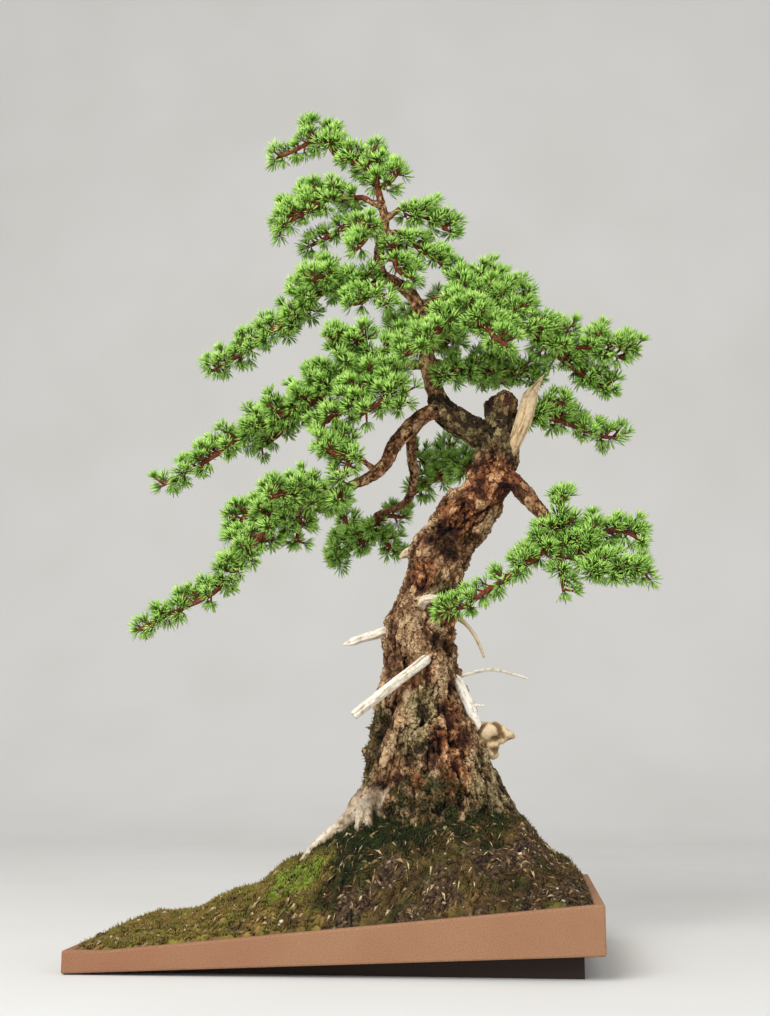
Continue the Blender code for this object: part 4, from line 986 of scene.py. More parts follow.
def moss_shoots(name, foot, way, tall, sun, dry, rng, soil):
    """Moss shoots as one piece: dark at the foot, lighter at the tip."""
    way = way + rng.normal(0, 0.36, way.shape)
    way /= np.linalg.norm(way, axis=1)[:, None]
    count = len(foot)
    wide = rng.uniform(0.45, 0.8, count)
    mesh = solid(name, *spikes(foot, way, tall, wide, rng.random(count) * FULL_TURN))
    shade = np.stack([np.full(count, 0.15)] * 3 + [rng.uniform(0.45, 1.0, count)], 1).ravel()
    store(mesh, sun=np.repeat(sun, 4), dry=np.repeat(dry, 4), tint=shade)
    return piece(name, mesh, [moss_material(soil)], "soil")


def trunk_shell():
    """Vertices and triangles of the trunk, with the relief of its solid."""
    vertices, triangles = tube(smooth_path(TRUNK, LIMB_STEP), TRUNK_SIDES)
    mesh = solid("trunk", vertices, triangles)
    raised = np.array([
        list(vert.co - SHIFT + vert.normal * bark_relief(vert.co - SHIFT)) for vert in mesh.vertices
    ]) / MM
    bpy.data.meshes.remove(mesh)
    return raised, triangles


def grow_wood(wood, soil):
    """Trunk, limbs and roots under one skin, with flaking bark cut into it and moss on its foot."""
    paths = [TRUNK, *LIMBS.values(), *ROOTS]
    shells = [trunk_shell()] + [tube(smooth_path(path, LIMB_STEP), LIMB_SIDES) for path in paths[1:]]
    points, normals, mesh = skin("bark", shells, wood.voxel)
    number, local, radius = Skeleton([smooth_path(path, 3) for path in paths]).read(points)
    first_root = 1 + len(LIMBS)
    old, root, main = number == 0, number >= first_root, number == 1
    z = points[:, 2]
    ground = z - soil_heights(points[:, 0] * MM, points[:, 1] * MM) / MM
    size = np.where(old | root, 1.0, np.clip(radius / 13, 0.3, 0.8))
    scaled = local / size[:, None]
    large = flakes(scaled, wood.flake_size / MM, 1.8, 1)
    small = flakes(scaled, wood.flake_size / MM * 0.4, 1.3, 2)
    ledge, below = terraces(large, LARGE_LAYERS, 0.15)
    chip, under = terraces(small, SMALL_LAYERS, 0.22)
    grain, worn = rough(local, 1.5, 3), rough(points, 24, 5)
    crack = 1 - step(0.0, 0.12, np.abs(flakes(scaled, wood.flake_size / MM * 1.35, 2.8, 7) + 0.05 * grain))
    crack *= step(-0.35, 0.1, worn)
    bare = root & (number < first_root + BLEACHED_ROOTS)
    pale = np.where(bare, step(166, 146, z + 6 * worn), 0.0)
    deep = np.minimum(wood.furrow_depth / MM, 0.2 * radius) * (1 - 0.75 * pale)
    height = 0.9 * ledge + 0.24 * chip + 0.07 * grain - 0.6 * crack
    knob = pale * step(112, 134, z)
    pale = pale * (1 - 0.4 * step(0.1, 0.9, knob))
    surface = points + normals * (height * deep + 2.4 * knob * rough(points, 8, 33))[:, None]
    move_to(mesh, surface)
    near_soil = step(26, 4, ground + 9 * worn)
    red, olive, moss = (near(points, patches) for patches in (RED_PATCHES, OLIVE_PATCHES, MOSS_PATCHES))
    young = ~old & ~root & ~main
    tone = 0.42 + 0.8 * ledge + 0.3 * chip + 0.3 * rough(points, 17, 6)
    tone += 0.35 * near(points, LIGHT_PATCHES)
    tone = np.where(young, 0.2 + 0.72 * tone, np.where(main, tone * 0.5, tone))
    tone -= 0.2 * red
    red = np.clip(0.9 * red + 0.3 * step(0.1, 0.5, rough(points, 20, 8)) + 0.4 * young, 0, 1) * ~main
    olive = np.clip((olive + 0.85 * main + 0.5 * near_soil) * (1 - 0.75 * red), 0, 1)
    moss = np.clip(moss + 0.95 * near_soil * step(-0.3, 0.3, worn), 0, 1) * (1 - pale)
    # Darker round the torn top, with painted shade under the right limb.
    tone *= 1 - 0.55 * near(points, DARKER_AND_SHADED_PATCHES)
    # Painted shade, stored as open: darker in the cracks, under the rims of the flake layers and in the sunk
    # hollows.
    shade = np.clip(1 - (1 - 0.55 * pale) * (0.95 * crack + 0.75 * below + 0.35 * under), 0, 1)
    shade *= 1 - 0.62 * near(points, SHADED_HOLLOW_PATCHES)
    store(mesh, open=shade, tone=np.clip(tone, 0, 1), red=red, olive=olive, moss=moss, pale=pale)
    rng = np.random.default_rng(SEED + 3)
    mossy = np.flatnonzero((rng.random(len(points)) < 0.09 * moss**2) & (ground > -3) & (moss > 0.35))
    tall = rng.uniform(2.2, 4.6, len(mossy))
    # Moss on the bark takes painted shade.
    sun = 0.12 + 0.25 * rng.random(len(mossy))
    way = normals[mossy] * 0.8 + (0, 0, 0.35)
    moss_shoots("bark_moss", surface[mossy], way, tall, sun, np.full(len(mossy), 0.2), rng, soil)
    mesh = thinned(mesh, wood.kept)
    mesh.shade_smooth()
    return piece("bark", mesh, [bark_material(wood)], "bark", "tree")


# Dead wood by path: the knob, how far each leans from bleached to tan, and which are stouter or whitest
BURLS = (9, 10)
TAN = {3: 0.35, 4: 0.8, 11: 0.7, 12: 0.2, 13: 0.6, 0: 0.85}
SWELL = {6: 1.4, 8: 1.4}
WHITE = (6, 7, 8)


def splinters(path, rng):
    """The torn stub as a bundle of slim splinters round its path, of uneven length."""
    shells = []
    for number in range(7):
        angle = number * 2 * math.pi / 6
        reach = 0.0 if number == 6 else 0.55
        stop = len(path) if number == 6 else max(4, int(len(path) * rng.uniform(0.68, 0.96)))
        ahead, side, up = frames([point[:3] for point in path])
        strand = []
        for place in range(stop):
            x, y, z, radius = path[place]
            off = (side[place] * math.cos(angle) + up[place] * math.sin(angle)) * radius * reach
            thin = min(1.0, (stop - place) / 5)
            strand.append((x + off[0], y + 0.6 * off[1], z + off[2], max(0.5, 0.5 * radius * thin)))
        shells.append(tube(strand, 10))
    return shells


def grow_deadwood(dead):
    """The bleached stubs, the torn top and the knob, with long weathered fibres."""
    rng = random.Random(SEED)
    paths = [smooth_path(path, STUB_STEP) for path in DEADWOOD]
    shells = splinters(paths[0], rng)
    for number, path in enumerate(paths[1:], 1):
        swell = SWELL.get(number, 1.0)
        shells.append(tube([(*point[:3], max(0.6, point[3] * swell)) for point in path], STUB_SIDES))
    points, normals, mesh = skin("deadwood", shells, dead.voxel, 3)
    number, local, radius = Skeleton(paths).read(points)
    fibres = rough(local * (1.0, 1.0, 0.09), 0.9, 8)
    cracks = rough(local * (1.0, 1.0, 0.05), 2.6, 9)
    lumps = rough(points, 8, 10)
    burl = np.isin(number, BURLS)
    lift = np.where(burl, 4.2 * lumps + 0.5 * rough(points, 2.6, 12), 0.0)
    lift += np.where(burl, 0.2, 1.0) * (0.7 * fibres + 1.3 * cracks) * dead.fibre_depth / MM
    move_to(mesh, points + normals * (lift * np.clip(radius / 4, 0.3, 1.0))[:, None])
    warm = np.select([number == n for n in TAN], list(TAN.values()), 0.0)
    warm = np.where(burl, 0.85, warm)
    fibre = 0.72 + 0.5 * fibres + 0.6 * cracks + 0.25 * np.isin(number, WHITE)
    # On the burl, painted shade: darker in the grooves between its lumps and lighter on their tops, as the
    # lift above raises them.
    fibre = np.where(burl, 0.5 + 1.9 * lumps + 0.35 * rough(points, 2.6, 12), fibre)
    store(mesh, fibre=np.clip(fibre, 0, 1), warm=warm)
    mesh.shade_smooth()
    return piece("deadwood", mesh, [deadwood_material(dead)], "bark", "tree")


# Foliage

def rosette_needles(places, ways, needles, rng):
    """Needles that brush out of every rosette: vertices, triangles, place along the needle and tint."""
    count = needles.per_rosette
    total = len(places) * count
    number = np.tile(np.arange(count), len(places))
    way = np.repeat(ways, count, 0)
    u, v = square_to(way)
    turn = number * GOLDEN_ANGLE + np.repeat(rng.random(len(places)) * FULL_TURN, count)
    turn += rng.normal(0, 0.25, total)
    widest = np.repeat(rng.uniform(34, 60, len(places)), count)
    open_angle = np.radians(4 + widest * np.sqrt((number + 0.5) / count)) + rng.normal(0, 0.1, total)
    out = u * np.cos(turn)[:, None] + v * np.sin(turn)[:, None]
    aim = way * np.cos(open_angle)[:, None] + out * np.sin(open_angle)[:, None]
    foot = np.repeat(places, count, 0) + out * 0.7
    reach = needles.needle_length / MM * rng.uniform(0.68, 1.0, total)
    reach *= np.repeat(rng.uniform(0.8, 1, len(places)), count)
    across = np.cross(way, out)
    flat = np.cross(across, aim)
    half = needles.needle_width / MM / 2 * rng.uniform(0.8, 1.15, total)[:, None]
    middle = foot + aim * 0.62 * reach[:, None] + flat * half * 0.9
    tip = foot + (aim + out * 0.05) * reach[:, None]
    vertices = np.stack([foot, middle + across * half, middle - across * half, tip], 1)
    run = np.tile((0.0, 0.62, 0.62, 1.0), total)
    tint = np.repeat(np.repeat(rng.random(len(places)), count) * 0.55 + rng.random(total) * 0.45, 4)
    return vertices.reshape(-1, 3), repeated(SLIVER, 4, total), run, tint


def rosette_spots(path, start, every, radius, rng, open_side=0.0):
    """Short-shoot places and directions in a spiral along a path, the last one at its tip."""
    span = path_length(path)
    spots, at, number = [], span - every, rng.randrange(100)
    while at > start:
        point, forward = along(path, at)
        roll = -80 + 340 * ((number * GOLDEN_SHARE + rng.random() * 0.1) % 1)
        out = around(forward, math.radians(roll))
        if abs(out.z) < open_side:
            at -= every
            number += 1
            continue
        rise = 0.3 if out.z > -0.3 else -0.1
        way = (out * 0.8 + forward * 0.35 + Vector((0, 0, rise))).normalized()
        spots.append((point + out * (radius + 1.4), way, point))
        at -= every * rng.uniform(0.85, 1.15)
        number += 1
    tip, forward = along(path, span)
    spots.append((tip, (forward + Vector((0, 0, 0.3))).normalized(), tip - forward))
    return spots


def knobbly(path, radii, rng):
    """A path with a radius that tapers and swells slightly, as old short shoots make it."""
    points = smooth_path(path, 5)
    places = np.linspace(0, 1, len(points))
    taper = np.interp(places, np.linspace(0, 1, len(radii)), radii)
    return [(*point[:3], radius * rng.uniform(0.86, 1.16)) for point, radius in zip(points, taper)]


def is_clear(point, wood):
    """Whether a rosette here keeps off the trunk and the limbs."""
    centre, radius = wood
    return (np.linalg.norm(centre - np.array(point), axis=1) > radius + TWIG_CLEAR).all()


def grow_spray(name, spray, needles, looks, wood):
    """One leafy branch: its woody axes, its twigs, the spurs of its short shoots and their needles."""
    rng = random.Random(f"{SEED} {name}")
    axes = [smooth_path(axis, 16) for axis, _, _ in spray]
    twigs = [twig for axis, (_, base, tip) in zip(axes, spray) for twig in side_twigs(axis, base, tip, rng)]
    fine = random.Random(f"fine {name}")
    for axis, (_, base, tip) in zip(axes, spray):
        for part in range(1, GAP_PARTS):
            start = max(3, (FIRST_TWIG + TWIG_EVERY * part / GAP_PARTS) % TWIG_EVERY)
            twigs += side_twigs(axis, base * 1.04, tip * 1.04, fine, start, 0.236 * part)
    for twig in list(twigs):
        span = path_length(twig)
        for place, side in ((0.35, 0.0), (0.62, math.pi))[: int(span / 13)]:
            start, forward = along(twig, span * place * fine.uniform(0.85, 1.15))
            way = (around(forward, side + fine.uniform(-0.3, 0.9)) + forward * 0.8).normalized()
            reach = span * fine.uniform(0.3, 0.45)
            twigs.append([tuple(start), tuple(start + way * reach * 0.5), tuple(start + way * reach)])
    limb = smooth_path(LIMBS[name if name in LIMBS else "leader"], 17)
    seat, before = Vector(limb[-1][:3]), Vector(limb[-2][:3])
    way = (seat - before).normalized()
    first = [tuple(seat - way * 6), tuple(seat + way * 3), *axes[0][1:]]
    shells, spots = [], []
    every = needles.spacing / MM
    for number, axis in enumerate(axes):
        radius = limb[-1][3] if number == 0 else FORK_RADIUS
        path = first if number == 0 else axis
        shells.append(tube(knobbly(path, (radius, 3.3, 2.7, 1.5), fine), 8))
        spots += rosette_spots(axis, 7, every, 2.2, fine, 0.5)
    for twig in twigs:
        shells.append(tube(knobbly(twig, (1.5, 0.9), fine), 5))
        spots += rosette_spots(twig, 6.5, every, 0.8, fine)
    kept = []
    for spot, way, foot in spots:
        crowded = any((spot - other).length < 0.57 * every for other, _, _ in kept)
        if not crowded and is_clear(spot, wood):
            kept.append((spot, way, foot))
    for spot, way, foot in kept:
        shells.append(tube([(*foot, 1.25), (*(spot + way * 0.4), 1.0)], 4))
    bark = joined(shells)
    places, ways = (np.array([list(item[i]) for item in kept]) for i in (0, 1))
    leaves = rosette_needles(places, ways, needles, np.random.default_rng(name_number(name)))
    vertices, triangles = joined([(leaves[0], leaves[1]), bark])
    mesh = solid("spray_" + name, vertices, triangles)
    woody = np.zeros(len(bark[0]))
    store(mesh, along=np.concatenate([leaves[2], woody]), tint=np.concatenate([leaves[3], woody]))
    kind = np.zeros(len(triangles), np.int32)
    kind[len(leaves[1]) :] = 1
    made = piece("foliage_" + name, mesh, looks, "needles", "spray_" + name)
    mesh.polygons.foreach_set("material_index", kind)
    mesh.shade_smooth()
    return made


def name_number(name):
    """A fixed number for a name."""
    return sum((place + 1) * 131 * ord(letter) for place, letter in enumerate(name))


# Soil

def slope(x, left, right):
    return left + (right - left) * (x / TRAY_WIDTH + 0.5)


def rim(x):
    share = (x - RIM_FLAT_END) / (TRAY_WIDTH / 2 - RIM_FLAT_END)
    return RIM_LEFT + (RIM_RIGHT - RIM_LEFT) * np.maximum(0.0, share)


def crest(x):
    """Height of the mound's crest at x, in metres."""
    xs, zs = np.array(CREST, float).T * MM
    place = np.clip(np.searchsorted(xs, x, side="left") - 1, 0, len(xs) - 2)
    share = np.clip((x - xs[place]) / (xs[place + 1] - xs[place]), 0, 1)
    return zs[place] + (zs[place + 1] - zs[place]) * (3 - 2 * share) * share * share


def soil_heights(x, y):
    """Height of the mound's plain surface at each place, as the soil's solid has it, in metres."""
    x, y = np.asarray(x, float), np.asarray(y, float)
    edge = rim(x) - SOIL_BELOW_RIM
    across = np.minimum(1.0, np.abs(y) / INSIDE_Y)
    fall = 1 - across**SOIL_FALL
    end = np.clip((INSIDE_X - np.abs(x)) / SOIL_END, 0, 1)
    lumps = np.array([noise.noise(Vector((a, b, 0)) * LUMPS_EACH_M) for a, b in zip(x.ravel(), y.ravel())])
    lumps = SOIL_LUMPS * lumps.reshape(x.shape) * np.minimum(1, 4 * (1 - across)) * end
    return edge + np.maximum(0.0, crest(x) - edge) * fall + lumps


def moss_cover(x, y):
    """How far moss covers each place, from 0 to 1, and how sunlit it is, for places in metres: the sun value
    is painted light on the left slope and painted shade by the trunk and in the shaded patch, partly the
    yellower colour of moss grown in sun.
    """
    points = np.stack([x, y, np.zeros_like(x)], 1) / MM
    patch = rough(points, 34, 11) + 0.5 * rough(points, 11, 12)
    wander = x + 0.022 * rough(points, 30, 21) + 0.010 * rough(points, 9, 22)
    left = step(0.02, -0.10, wander)
    trunk = step(0.118, 0.068, np.hypot(x - 0.078, y * 1.1) + 0.012 * rough(points, 15, 19))
    right = step(-0.06, 0.06, wander)
    # A patch in front of the trunk: more moss, and painted shadow in the moss's colour.
    shaded = step(0.062, 0.03, np.hypot(x + 0.004, y + 0.075) + 0.012 * rough(points, 15, 20))
    cover = step(-0.15, 0.25, patch + 0.65 * left + 0.8 * trunk + 0.8 * shaded - 0.02 * right)
    sun = np.clip(0.25 + 0.5 * left - 0.35 * trunk - 0.4 * shaded + 0.35 * rough(points, 22, 13), 0, 0.8)
    sun = np.clip(sun + step(0.040, 0.014, np.hypot(wander + 0.036, y + 0.08)), 0, 1)
    dry = step(-0.25, 0.3, rough(points, 13, 17) + 0.3 * right - 0.7 * trunk - 0.5 * shaded - 0.1)
    return cover, sun, dry * (0.8 + 0.2 * right)


def mound_lift(x, y, cover):
    """How far moss cushions, clods and grains rise from the solid's surface, in millimetres, and how high on
    its cushion or clod each place is, for the painted shade in the creases.
    """
    flat = np.stack([x, y, np.zeros_like(x)], 1) / MM
    cushions = np.sqrt(np.abs(flakes(flat, 12, 1.0, 14)))
    clods = np.sqrt(np.minimum(1, 1.6 * np.abs(rough(flat, 9, 18))))
    grains = 1.1 * rough(flat, 2.4, 15) + 1.2 * rough(flat, 6, 16)
    lift = cover * 4.2 * cushions + (1 - 0.4 * cover) * (grains + 3.4 * clods)
    return lift, cover * cushions + (1 - cover) * clods


def mound_heights(x, y):
    """Height of the mound's finished surface, in metres."""
    return soil_heights(x, y) + (mound_lift(x, y, moss_cover(x, y)[0])[0] - 0.2) * MM


def grow_soil(soil):
    """The mound: the solid's surface, with moss cushions and grains raised on it, closed below."""
    half_x, half_y = INSIDE_X - TOUCH, INSIDE_Y - TOUCH
    across, back = np.linspace(-half_x, half_x, MOUND_COLUMNS), np.linspace(-half_y, half_y, MOUND_ROWS)
    x, y = (places.ravel() for places in np.meshgrid(across, back))
    cover, sun, dry = moss_cover(x, y)
    inner = np.clip(np.minimum(half_x - np.abs(x), half_y - np.abs(y)) / SOIL_EDGE, 0, 1)
    lift, crown = mound_lift(x, y, cover)
    z = soil_heights(x, y) / MM + lift * inner
    top = np.stack([x / MM, y / MM, z], 1)
    grid = np.arange(len(top)).reshape(MOUND_ROWS, MOUND_COLUMNS)
    a, b, c, d = (g.ravel() for g in (grid[:-1, :-1], grid[:-1, 1:], grid[1:, 1:], grid[1:, :-1]))
    faces = [np.stack([a, b, c], 1), np.stack([a, c, d], 1)]
    ring = np.concatenate([grid[0, :-1], grid[:-1, -1], grid[-1, :0:-1], grid[:0:-1, 0]])
    foot = top[ring].copy()
    foot[:, 2] = (slope(foot[:, 0] * MM, UNDERSIDE_LEFT, UNDERSIDE_RIGHT) + TRAY_FLOOR + TOUCH) / MM
    low = len(top) + np.arange(len(ring))
    after = np.roll(np.arange(len(ring)), -1)
    faces += [np.stack([ring, low, low[after]], 1), np.stack([ring, low[after], ring[after]], 1)]
    middle = len(top) + len(ring)
    faces.append(np.stack([low[after], low, np.full(len(ring), middle)], 1))
    vertices = np.concatenate([top, foot, [foot.mean(0)]])
    mesh = solid("mound", vertices, np.concatenate(faces))
    pad = np.zeros(len(vertices) - len(top))
    values = {"moss": cover, "sun": sun, "dry": dry, "crown": crown}
    store(mesh, **{name: np.concatenate([found, pad]) for name, found in values.items()})
    mesh.shade_smooth()
    return piece("mound", mesh, [soil_material(soil)], "soil", "soil")


def strewn(count, rng, margin=0.004):
    """Random places on the mound, in metres, off the trunk's foot and a margin inside the tray's walls."""
    half_x, half_y = INSIDE_X - margin, INSIDE_Y - margin
    x, y = rng.uniform(-half_x, half_x, count), rng.uniform(-half_y, half_y, count)
    off = np.hypot(x - BARE_FOOT[0], y - BARE_FOOT[1]) > BARE_FOOT[2]
    return x[off], y[off]


def grow_moss(soil):
    """Moss shoots: three-sided spikes that stand on the mound where moss covers it."""
    rng = np.random.default_rng(SEED)
    x, y = strewn(soil.moss_shoots, rng, margin=0.0018)
    cover, sun, dry = moss_cover(x, y)
    by_wall = step(0.009, 0.004, INSIDE_Y - np.abs(y))
    kept = rng.random(len(x)) < cover**1.5 * 0.95 + 0.05 + 0.4 * by_wall
    x, y, sun, dry = x[kept], y[kept], sun[kept], dry[kept]
    foot = np.stack([x / MM, y / MM, mound_heights(x, y) / MM], 1)
    deep = 1 + 0.5 * step(0.10, 0.06, np.hypot(x - BARE_FOOT[0], y))
    tall = soil.moss_height / MM * rng.uniform(0.5, 1.25, len(foot)) * deep
    return moss_shoots("moss", foot, np.tile((0.0, 0.0, 1.0), (len(foot), 1)), tall, sun, dry, rng, soil)


def strew_litter(soil):
    """Last year's needles and fine root threads, lying on the mound every way."""
    rng = np.random.default_rng(SEED + 2)
    x, y = strewn(soil.litter, rng)
    count = len(x)
    turn = rng.random(count) * FULL_TURN
    half = rng.uniform(3, 7, count) * MM
    ends = []
    for side in (-1, 0, 1):
        bend = 0.25 * (side == 0) * half
        a = np.clip(x + side * half * np.cos(turn) - bend * np.sin(turn), MM - INSIDE_X, INSIDE_X - MM)
        b = np.clip(y + side * half * np.sin(turn) + bend * np.cos(turn), MM - INSIDE_Y, INSIDE_Y - MM)
        lying = mound_heights(a, b) / MM + 0.9 + (side == 0) * rng.uniform(0, 2, count)
        ends.append(np.stack([a / MM, b / MM, lying], 1))
    wide = np.stack([-np.sin(turn), np.cos(turn), np.zeros(count)], 1)
    wide *= rng.uniform(0.22, 0.42, count)[:, None]
    vertices = np.stack([ends[0], ends[1] + wide, ends[1] - wide, ends[2]], 1)
    vertices[:, 1:3, 2] += 0.45
    mesh = solid("litter", vertices.reshape(-1, 3), repeated(SLIVER, 4, count))
    store(mesh, tint=np.repeat(rng.random(count), 4))
    return piece("litter", mesh, [litter_material()], "soil")


def stone_shape():
    """Corners and faces of a plain twelve-cornered stone, one unit across."""
    g = (1 + 5**0.5) / 2
    corners = [(-1, g, 0), (1, g, 0), (-1, -g, 0), (1, -g, 0), (0, -1, g), (0, 1, g), (0, -1, -g), (0, 1, -g),
               (g, 0, -1), (g, 0, 1), (-g, 0, -1), (-g, 0, 1)]
    faces = [(0, 11, 5), (0, 5, 1), (0, 1, 7), (0, 7, 10), (0, 10, 11), (1, 5, 9), (5, 11, 4),
             (11, 10, 2), (10, 7, 6), (7, 1, 8), (3, 9, 4), (3, 4, 2), (3, 2, 6), (3, 6, 8),
             (3, 8, 9), (4, 9, 5), (2, 4, 11), (6, 2, 10), (8, 6, 7), (9, 8, 1)]
    return np.array(corners) / (2 * g), faces


def strew_grit(soil):
    """Loose stones, half sunk in the mound, fewer where the moss has closed."""
    rng = np.random.default_rng(SEED + 1)
    x, y = strewn(soil.stones, rng)
    cover = moss_cover(x, y)[0]
    by_wall = step(0.012, 0.005, INSIDE_Y - np.abs(y))
    kept = rng.random(len(x)) < 0.95 - 0.75 * cover + 0.7 * by_wall
    x, y = x[kept], y[kept]
    count = len(x)
    corners, faces = stone_shape()
    size = soil.stone_size / MM * rng.lognormal(0, 0.32, count)
    place = np.stack([x / MM, y / MM, mound_heights(x, y) / MM + 0.12 * size], 1)
    uneven = rng.uniform(0.75, 1.25, (count, len(corners), 1))
    bumpy = corners[None] * uneven * rng.uniform(0.7, 1.3, (count, 1, 3))
    turn = rng.random(count)[:, None] * FULL_TURN
    spun = np.stack([bumpy[..., 0] * np.cos(turn) - bumpy[..., 1] * np.sin(turn),
                     bumpy[..., 0] * np.sin(turn) + bumpy[..., 1] * np.cos(turn),
                     bumpy[..., 2] * 0.8], 2)
    vertices = (place[:, None] + spun * size[:, None, None]).reshape(-1, 3)
    mesh = solid("grit", vertices, repeated(faces, len(corners), count))
    store(mesh, tint=np.repeat(rng.random(count) ** 1.25, len(corners)))
    return piece("grit", mesh, [grit_material()], "soil")


SEEDLING = [(176, 62, 92), (178, 60, 104), (181, 57, 116)]


def grow_seedling(needles, looks):
    """A weed seedling behind the mound: a stalk with paired leaves."""
    rng = random.Random(SEED)
    path = [(*point, 0.7) for point in smooth_path(SEEDLING, 3)]
    shells = [tube(path, 6)]
    for number in range(9):
        start, forward = along([point[:3] for point in path], 3 + 2.6 * number)
        way = (around(forward, number * 2.4) + forward * 0.5).normalized()
        reach = rng.uniform(5, 8)
        blade = []
        for share, width in ((0, 0.4), (0.35, 1.5), (0.7, 1.2), (1, 0.3)):
            point = start + way * reach * share + Vector((0, 0, -1.2 * share * share))
            blade.append((*point, width))
        leaf, faces = tube(blade, 6)
        centre = np.array([point[:3] for point in blade]).mean(0)
        flat = np.array(forward)
        leaf = leaf - ((leaf - centre) @ flat)[:, None] * flat * 0.6
        shells.append((leaf, faces))
    vertices, triangles = joined(shells)
    mesh = solid("seedling", vertices, triangles)
    store(mesh, along=np.full(len(vertices), 0.35), tint=np.full(len(vertices), 0.4))
    mesh.shade_smooth()
    return piece("seedling", mesh, looks[:1], "needles")


# Stage

def set_stage(stage):
    """A pale paper sweep, one large soft light, a weak fill, and the camera."""
    profile = [(-6.0, 0.0), (1.6, 0.0)]
    for number in range(1, 13):
        angle = number / 12 * math.pi / 2
        profile.append((1.6 + 1.2 * math.sin(angle), 1.2 - 1.2 * math.cos(angle)))
    profile.append((2.8, 6.0))
    vertices = [(x, y, z) for y, z in profile for x in (-7.0, 7.0)]
    faces = [(2 * n, 2 * n + 1, 2 * n + 3, 2 * n + 2) for n in range(len(profile) - 1)]
    mesh = bpy.data.meshes.new("sweep")
    mesh.from_pydata(vertices, [], faces)
    mesh.shade_smooth()
    mesh.materials.append(floor_material(stage))
    floor = linked("floor", mesh)
    lights = (
        ("key", stage.key_power, 1.5, (-0.9, -1.9, 1.9)),
        ("fill", stage.fill_power, 2.0, (1.9, -1.3, 0.9)),
    )
    for name, strength, size, place in lights:
        lamp = bpy.data.lights.new(name, "AREA")
        lamp.energy = strength
        lamp.size = size
        lit = linked(name, lamp)
        lit.location = place
        lit.rotation_euler = (LIT_POINT - Vector(place)).to_track_quat("-Z", "Y").to_euler()
    world = bpy.data.worlds.new("studio")
    world.use_nodes = True
    world.node_tree.nodes["Background"].inputs["Color"].default_value = srgb("#eef0f2")
    world.node_tree.nodes["Background"].inputs["Strength"].default_value = 0.75
    bpy.context.scene.world = world
    bpy.context.scene.view_settings.view_transform = "Standard"
    lens = bpy.data.cameras.new("camera")
    lens.sensor_width = CAMERA_SENSOR
    lens.lens = CAMERA_LENS
    camera = linked("camera", lens)
    camera.location = CAMERA_PLACE + SHIFT
    camera.rotation_euler = CAMERA_WAY.to_track_quat("-Z", "Y").to_euler()
    bpy.context.scene.camera = camera


# Operators

class BonsaiGrowWood(bpy.types.Operator):
    """Skins the trunk, limbs and roots and cuts bark plates into them"""

    bl_idname = "bonsai.grow_wood"
    bl_label = "Grow bark"

    def execute(self, context):
        grow_wood(context.scene.bonsai_wood, context.scene.bonsai_soil)
        return {"FINISHED"}


class BonsaiGrowDeadwood(bpy.types.Operator):
    """Skins the bleached stubs, the torn top and the knob"""

    bl_idname = "bonsai.grow_deadwood"
    bl_label = "Grow dead wood"

    def execute(self, context):
        grow_deadwood(context.scene.bonsai_deadwood)
        return {"FINISHED"}


class BonsaiGrowFoliage(bpy.types.Operator):
    """Grows every leafy branch with its twigs and needle rosettes"""

    bl_idname = "bonsai.grow_foliage"
    bl_label = "Grow foliage"

    def execute(self, context):
        needles = context.scene.bonsai_needles
        looks = [needle_material(needles), twig_material(needles)]
        samples = np.array([point for path in [TRUNK, *LIMBS.values()] for point in smooth_path(path, 5)])
        for name, spray in SPRAYS.items():
            grow_spray(name, spray, needles, looks, (samples[:, :3], samples[:, 3]))
        grow_seedling(needles, looks)
        return {"FINISHED"}


class BonsaiGrowSoil(bpy.types.Operator):
    """Lays the mound with its moss and loose grit"""

    bl_idname = "bonsai.grow_soil"
    bl_label = "Lay soil"

    def execute(self, context):
        grow_soil(context.scene.bonsai_soil)
        grow_moss(context.scene.bonsai_soil)
        strew_litter(context.scene.bonsai_soil)
        strew_grit(context.scene.bonsai_soil)
        return {"FINISHED"}


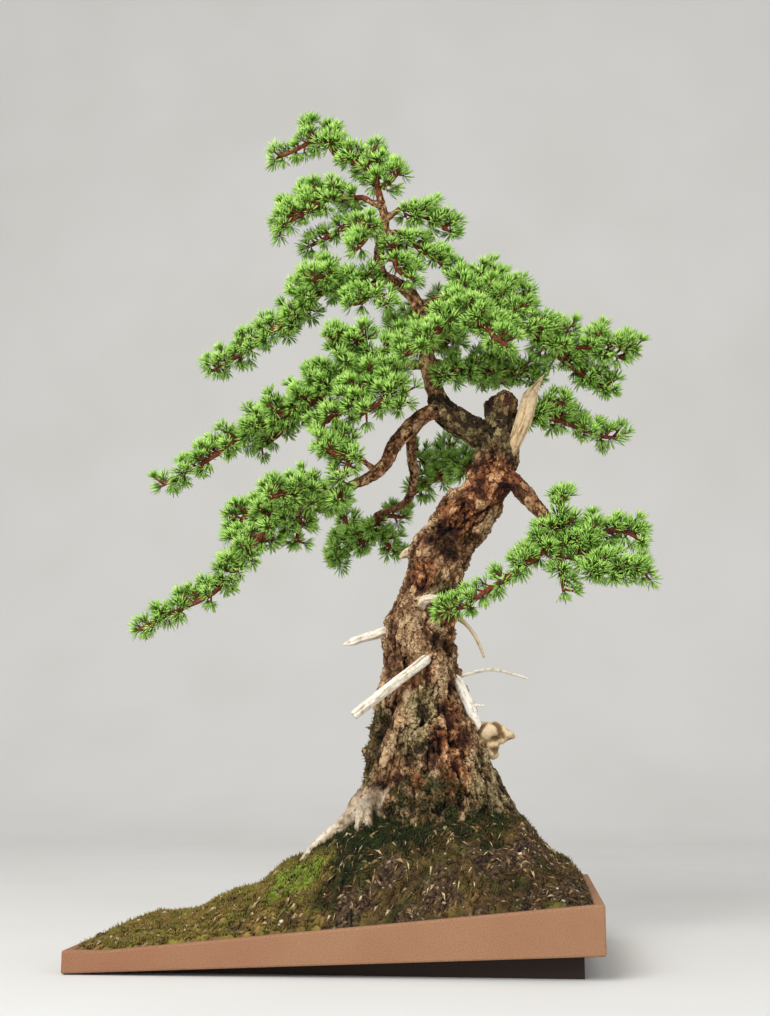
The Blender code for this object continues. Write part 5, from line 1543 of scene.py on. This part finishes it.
class BonsaiFinishTray(bpy.types.Operator):
    """Gives the tray and its drain screens their materials"""

    bl_idname = "bonsai.finish_tray"
    bl_label = "Finish tray"

    def execute(self, context):
        looks = {"tray": stoneware_material(context.scene.bonsai_tray)}
        looks["drain_screen_1"] = looks["drain_screen_2"] = screen_material()
        for node, look in looks.items():
            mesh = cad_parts[node].data
            mesh.materials.clear()
            mesh.materials.append(look)
        return {"FINISHED"}


class BonsaiSetStage(bpy.types.Operator):
    """Sets the pale floor, the soft light and the camera"""

    bl_idname = "bonsai.set_stage"
    bl_label = "Set stage"

    def execute(self, context):
        set_stage(context.scene.bonsai_stage)
        return {"FINISHED"}


GROUPS = {"bonsai_wood": BonsaiWood, "bonsai_deadwood": BonsaiDeadwood, "bonsai_needles": BonsaiNeedles,
          "bonsai_soil": BonsaiSoil, "bonsai_tray": BonsaiTray, "bonsai_stage": BonsaiStage}
OPERATORS = (BonsaiGrowWood, BonsaiGrowDeadwood, BonsaiGrowFoliage, BonsaiGrowSoil, BonsaiFinishTray,
             BonsaiSetStage)


class VIEW3D_PT_bonsai(bpy.types.Panel):
    """Lists the bonsai's settings and the steps that make it"""

    bl_label = "Larch bonsai"
    bl_space_type = "VIEW_3D"
    bl_region_type = "UI"
    bl_category = "Bonsai"

    def draw(self, context):
        for attribute, group in GROUPS.items():
            box = self.layout.box()
            for name in group.__annotations__:
                box.prop(getattr(context.scene, attribute), name)
        for operator in OPERATORS:
            self.layout.operator(operator.bl_idname)


def register():
    for made in (*GROUPS.values(), *OPERATORS, VIEW3D_PT_bonsai):
        bpy.utils.register_class(made)
    for attribute, group in GROUPS.items():
        setattr(bpy.types.Scene, attribute, PointerProperty(type=group))


def unregister():
    for attribute in GROUPS:
        delattr(bpy.types.Scene, attribute)
    for made in (VIEW3D_PT_bonsai, *OPERATORS, *reversed(GROUPS.values())):
        bpy.utils.unregister_class(made)


def main():
    register()
    bpy.ops.bonsai.finish_tray()
    bpy.ops.bonsai.grow_wood()
    bpy.ops.bonsai.grow_deadwood()
    bpy.ops.bonsai.grow_foliage()
    bpy.ops.bonsai.grow_soil()
    bpy.ops.bonsai.set_stage()
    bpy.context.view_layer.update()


if __name__ == "__main__":
    main()
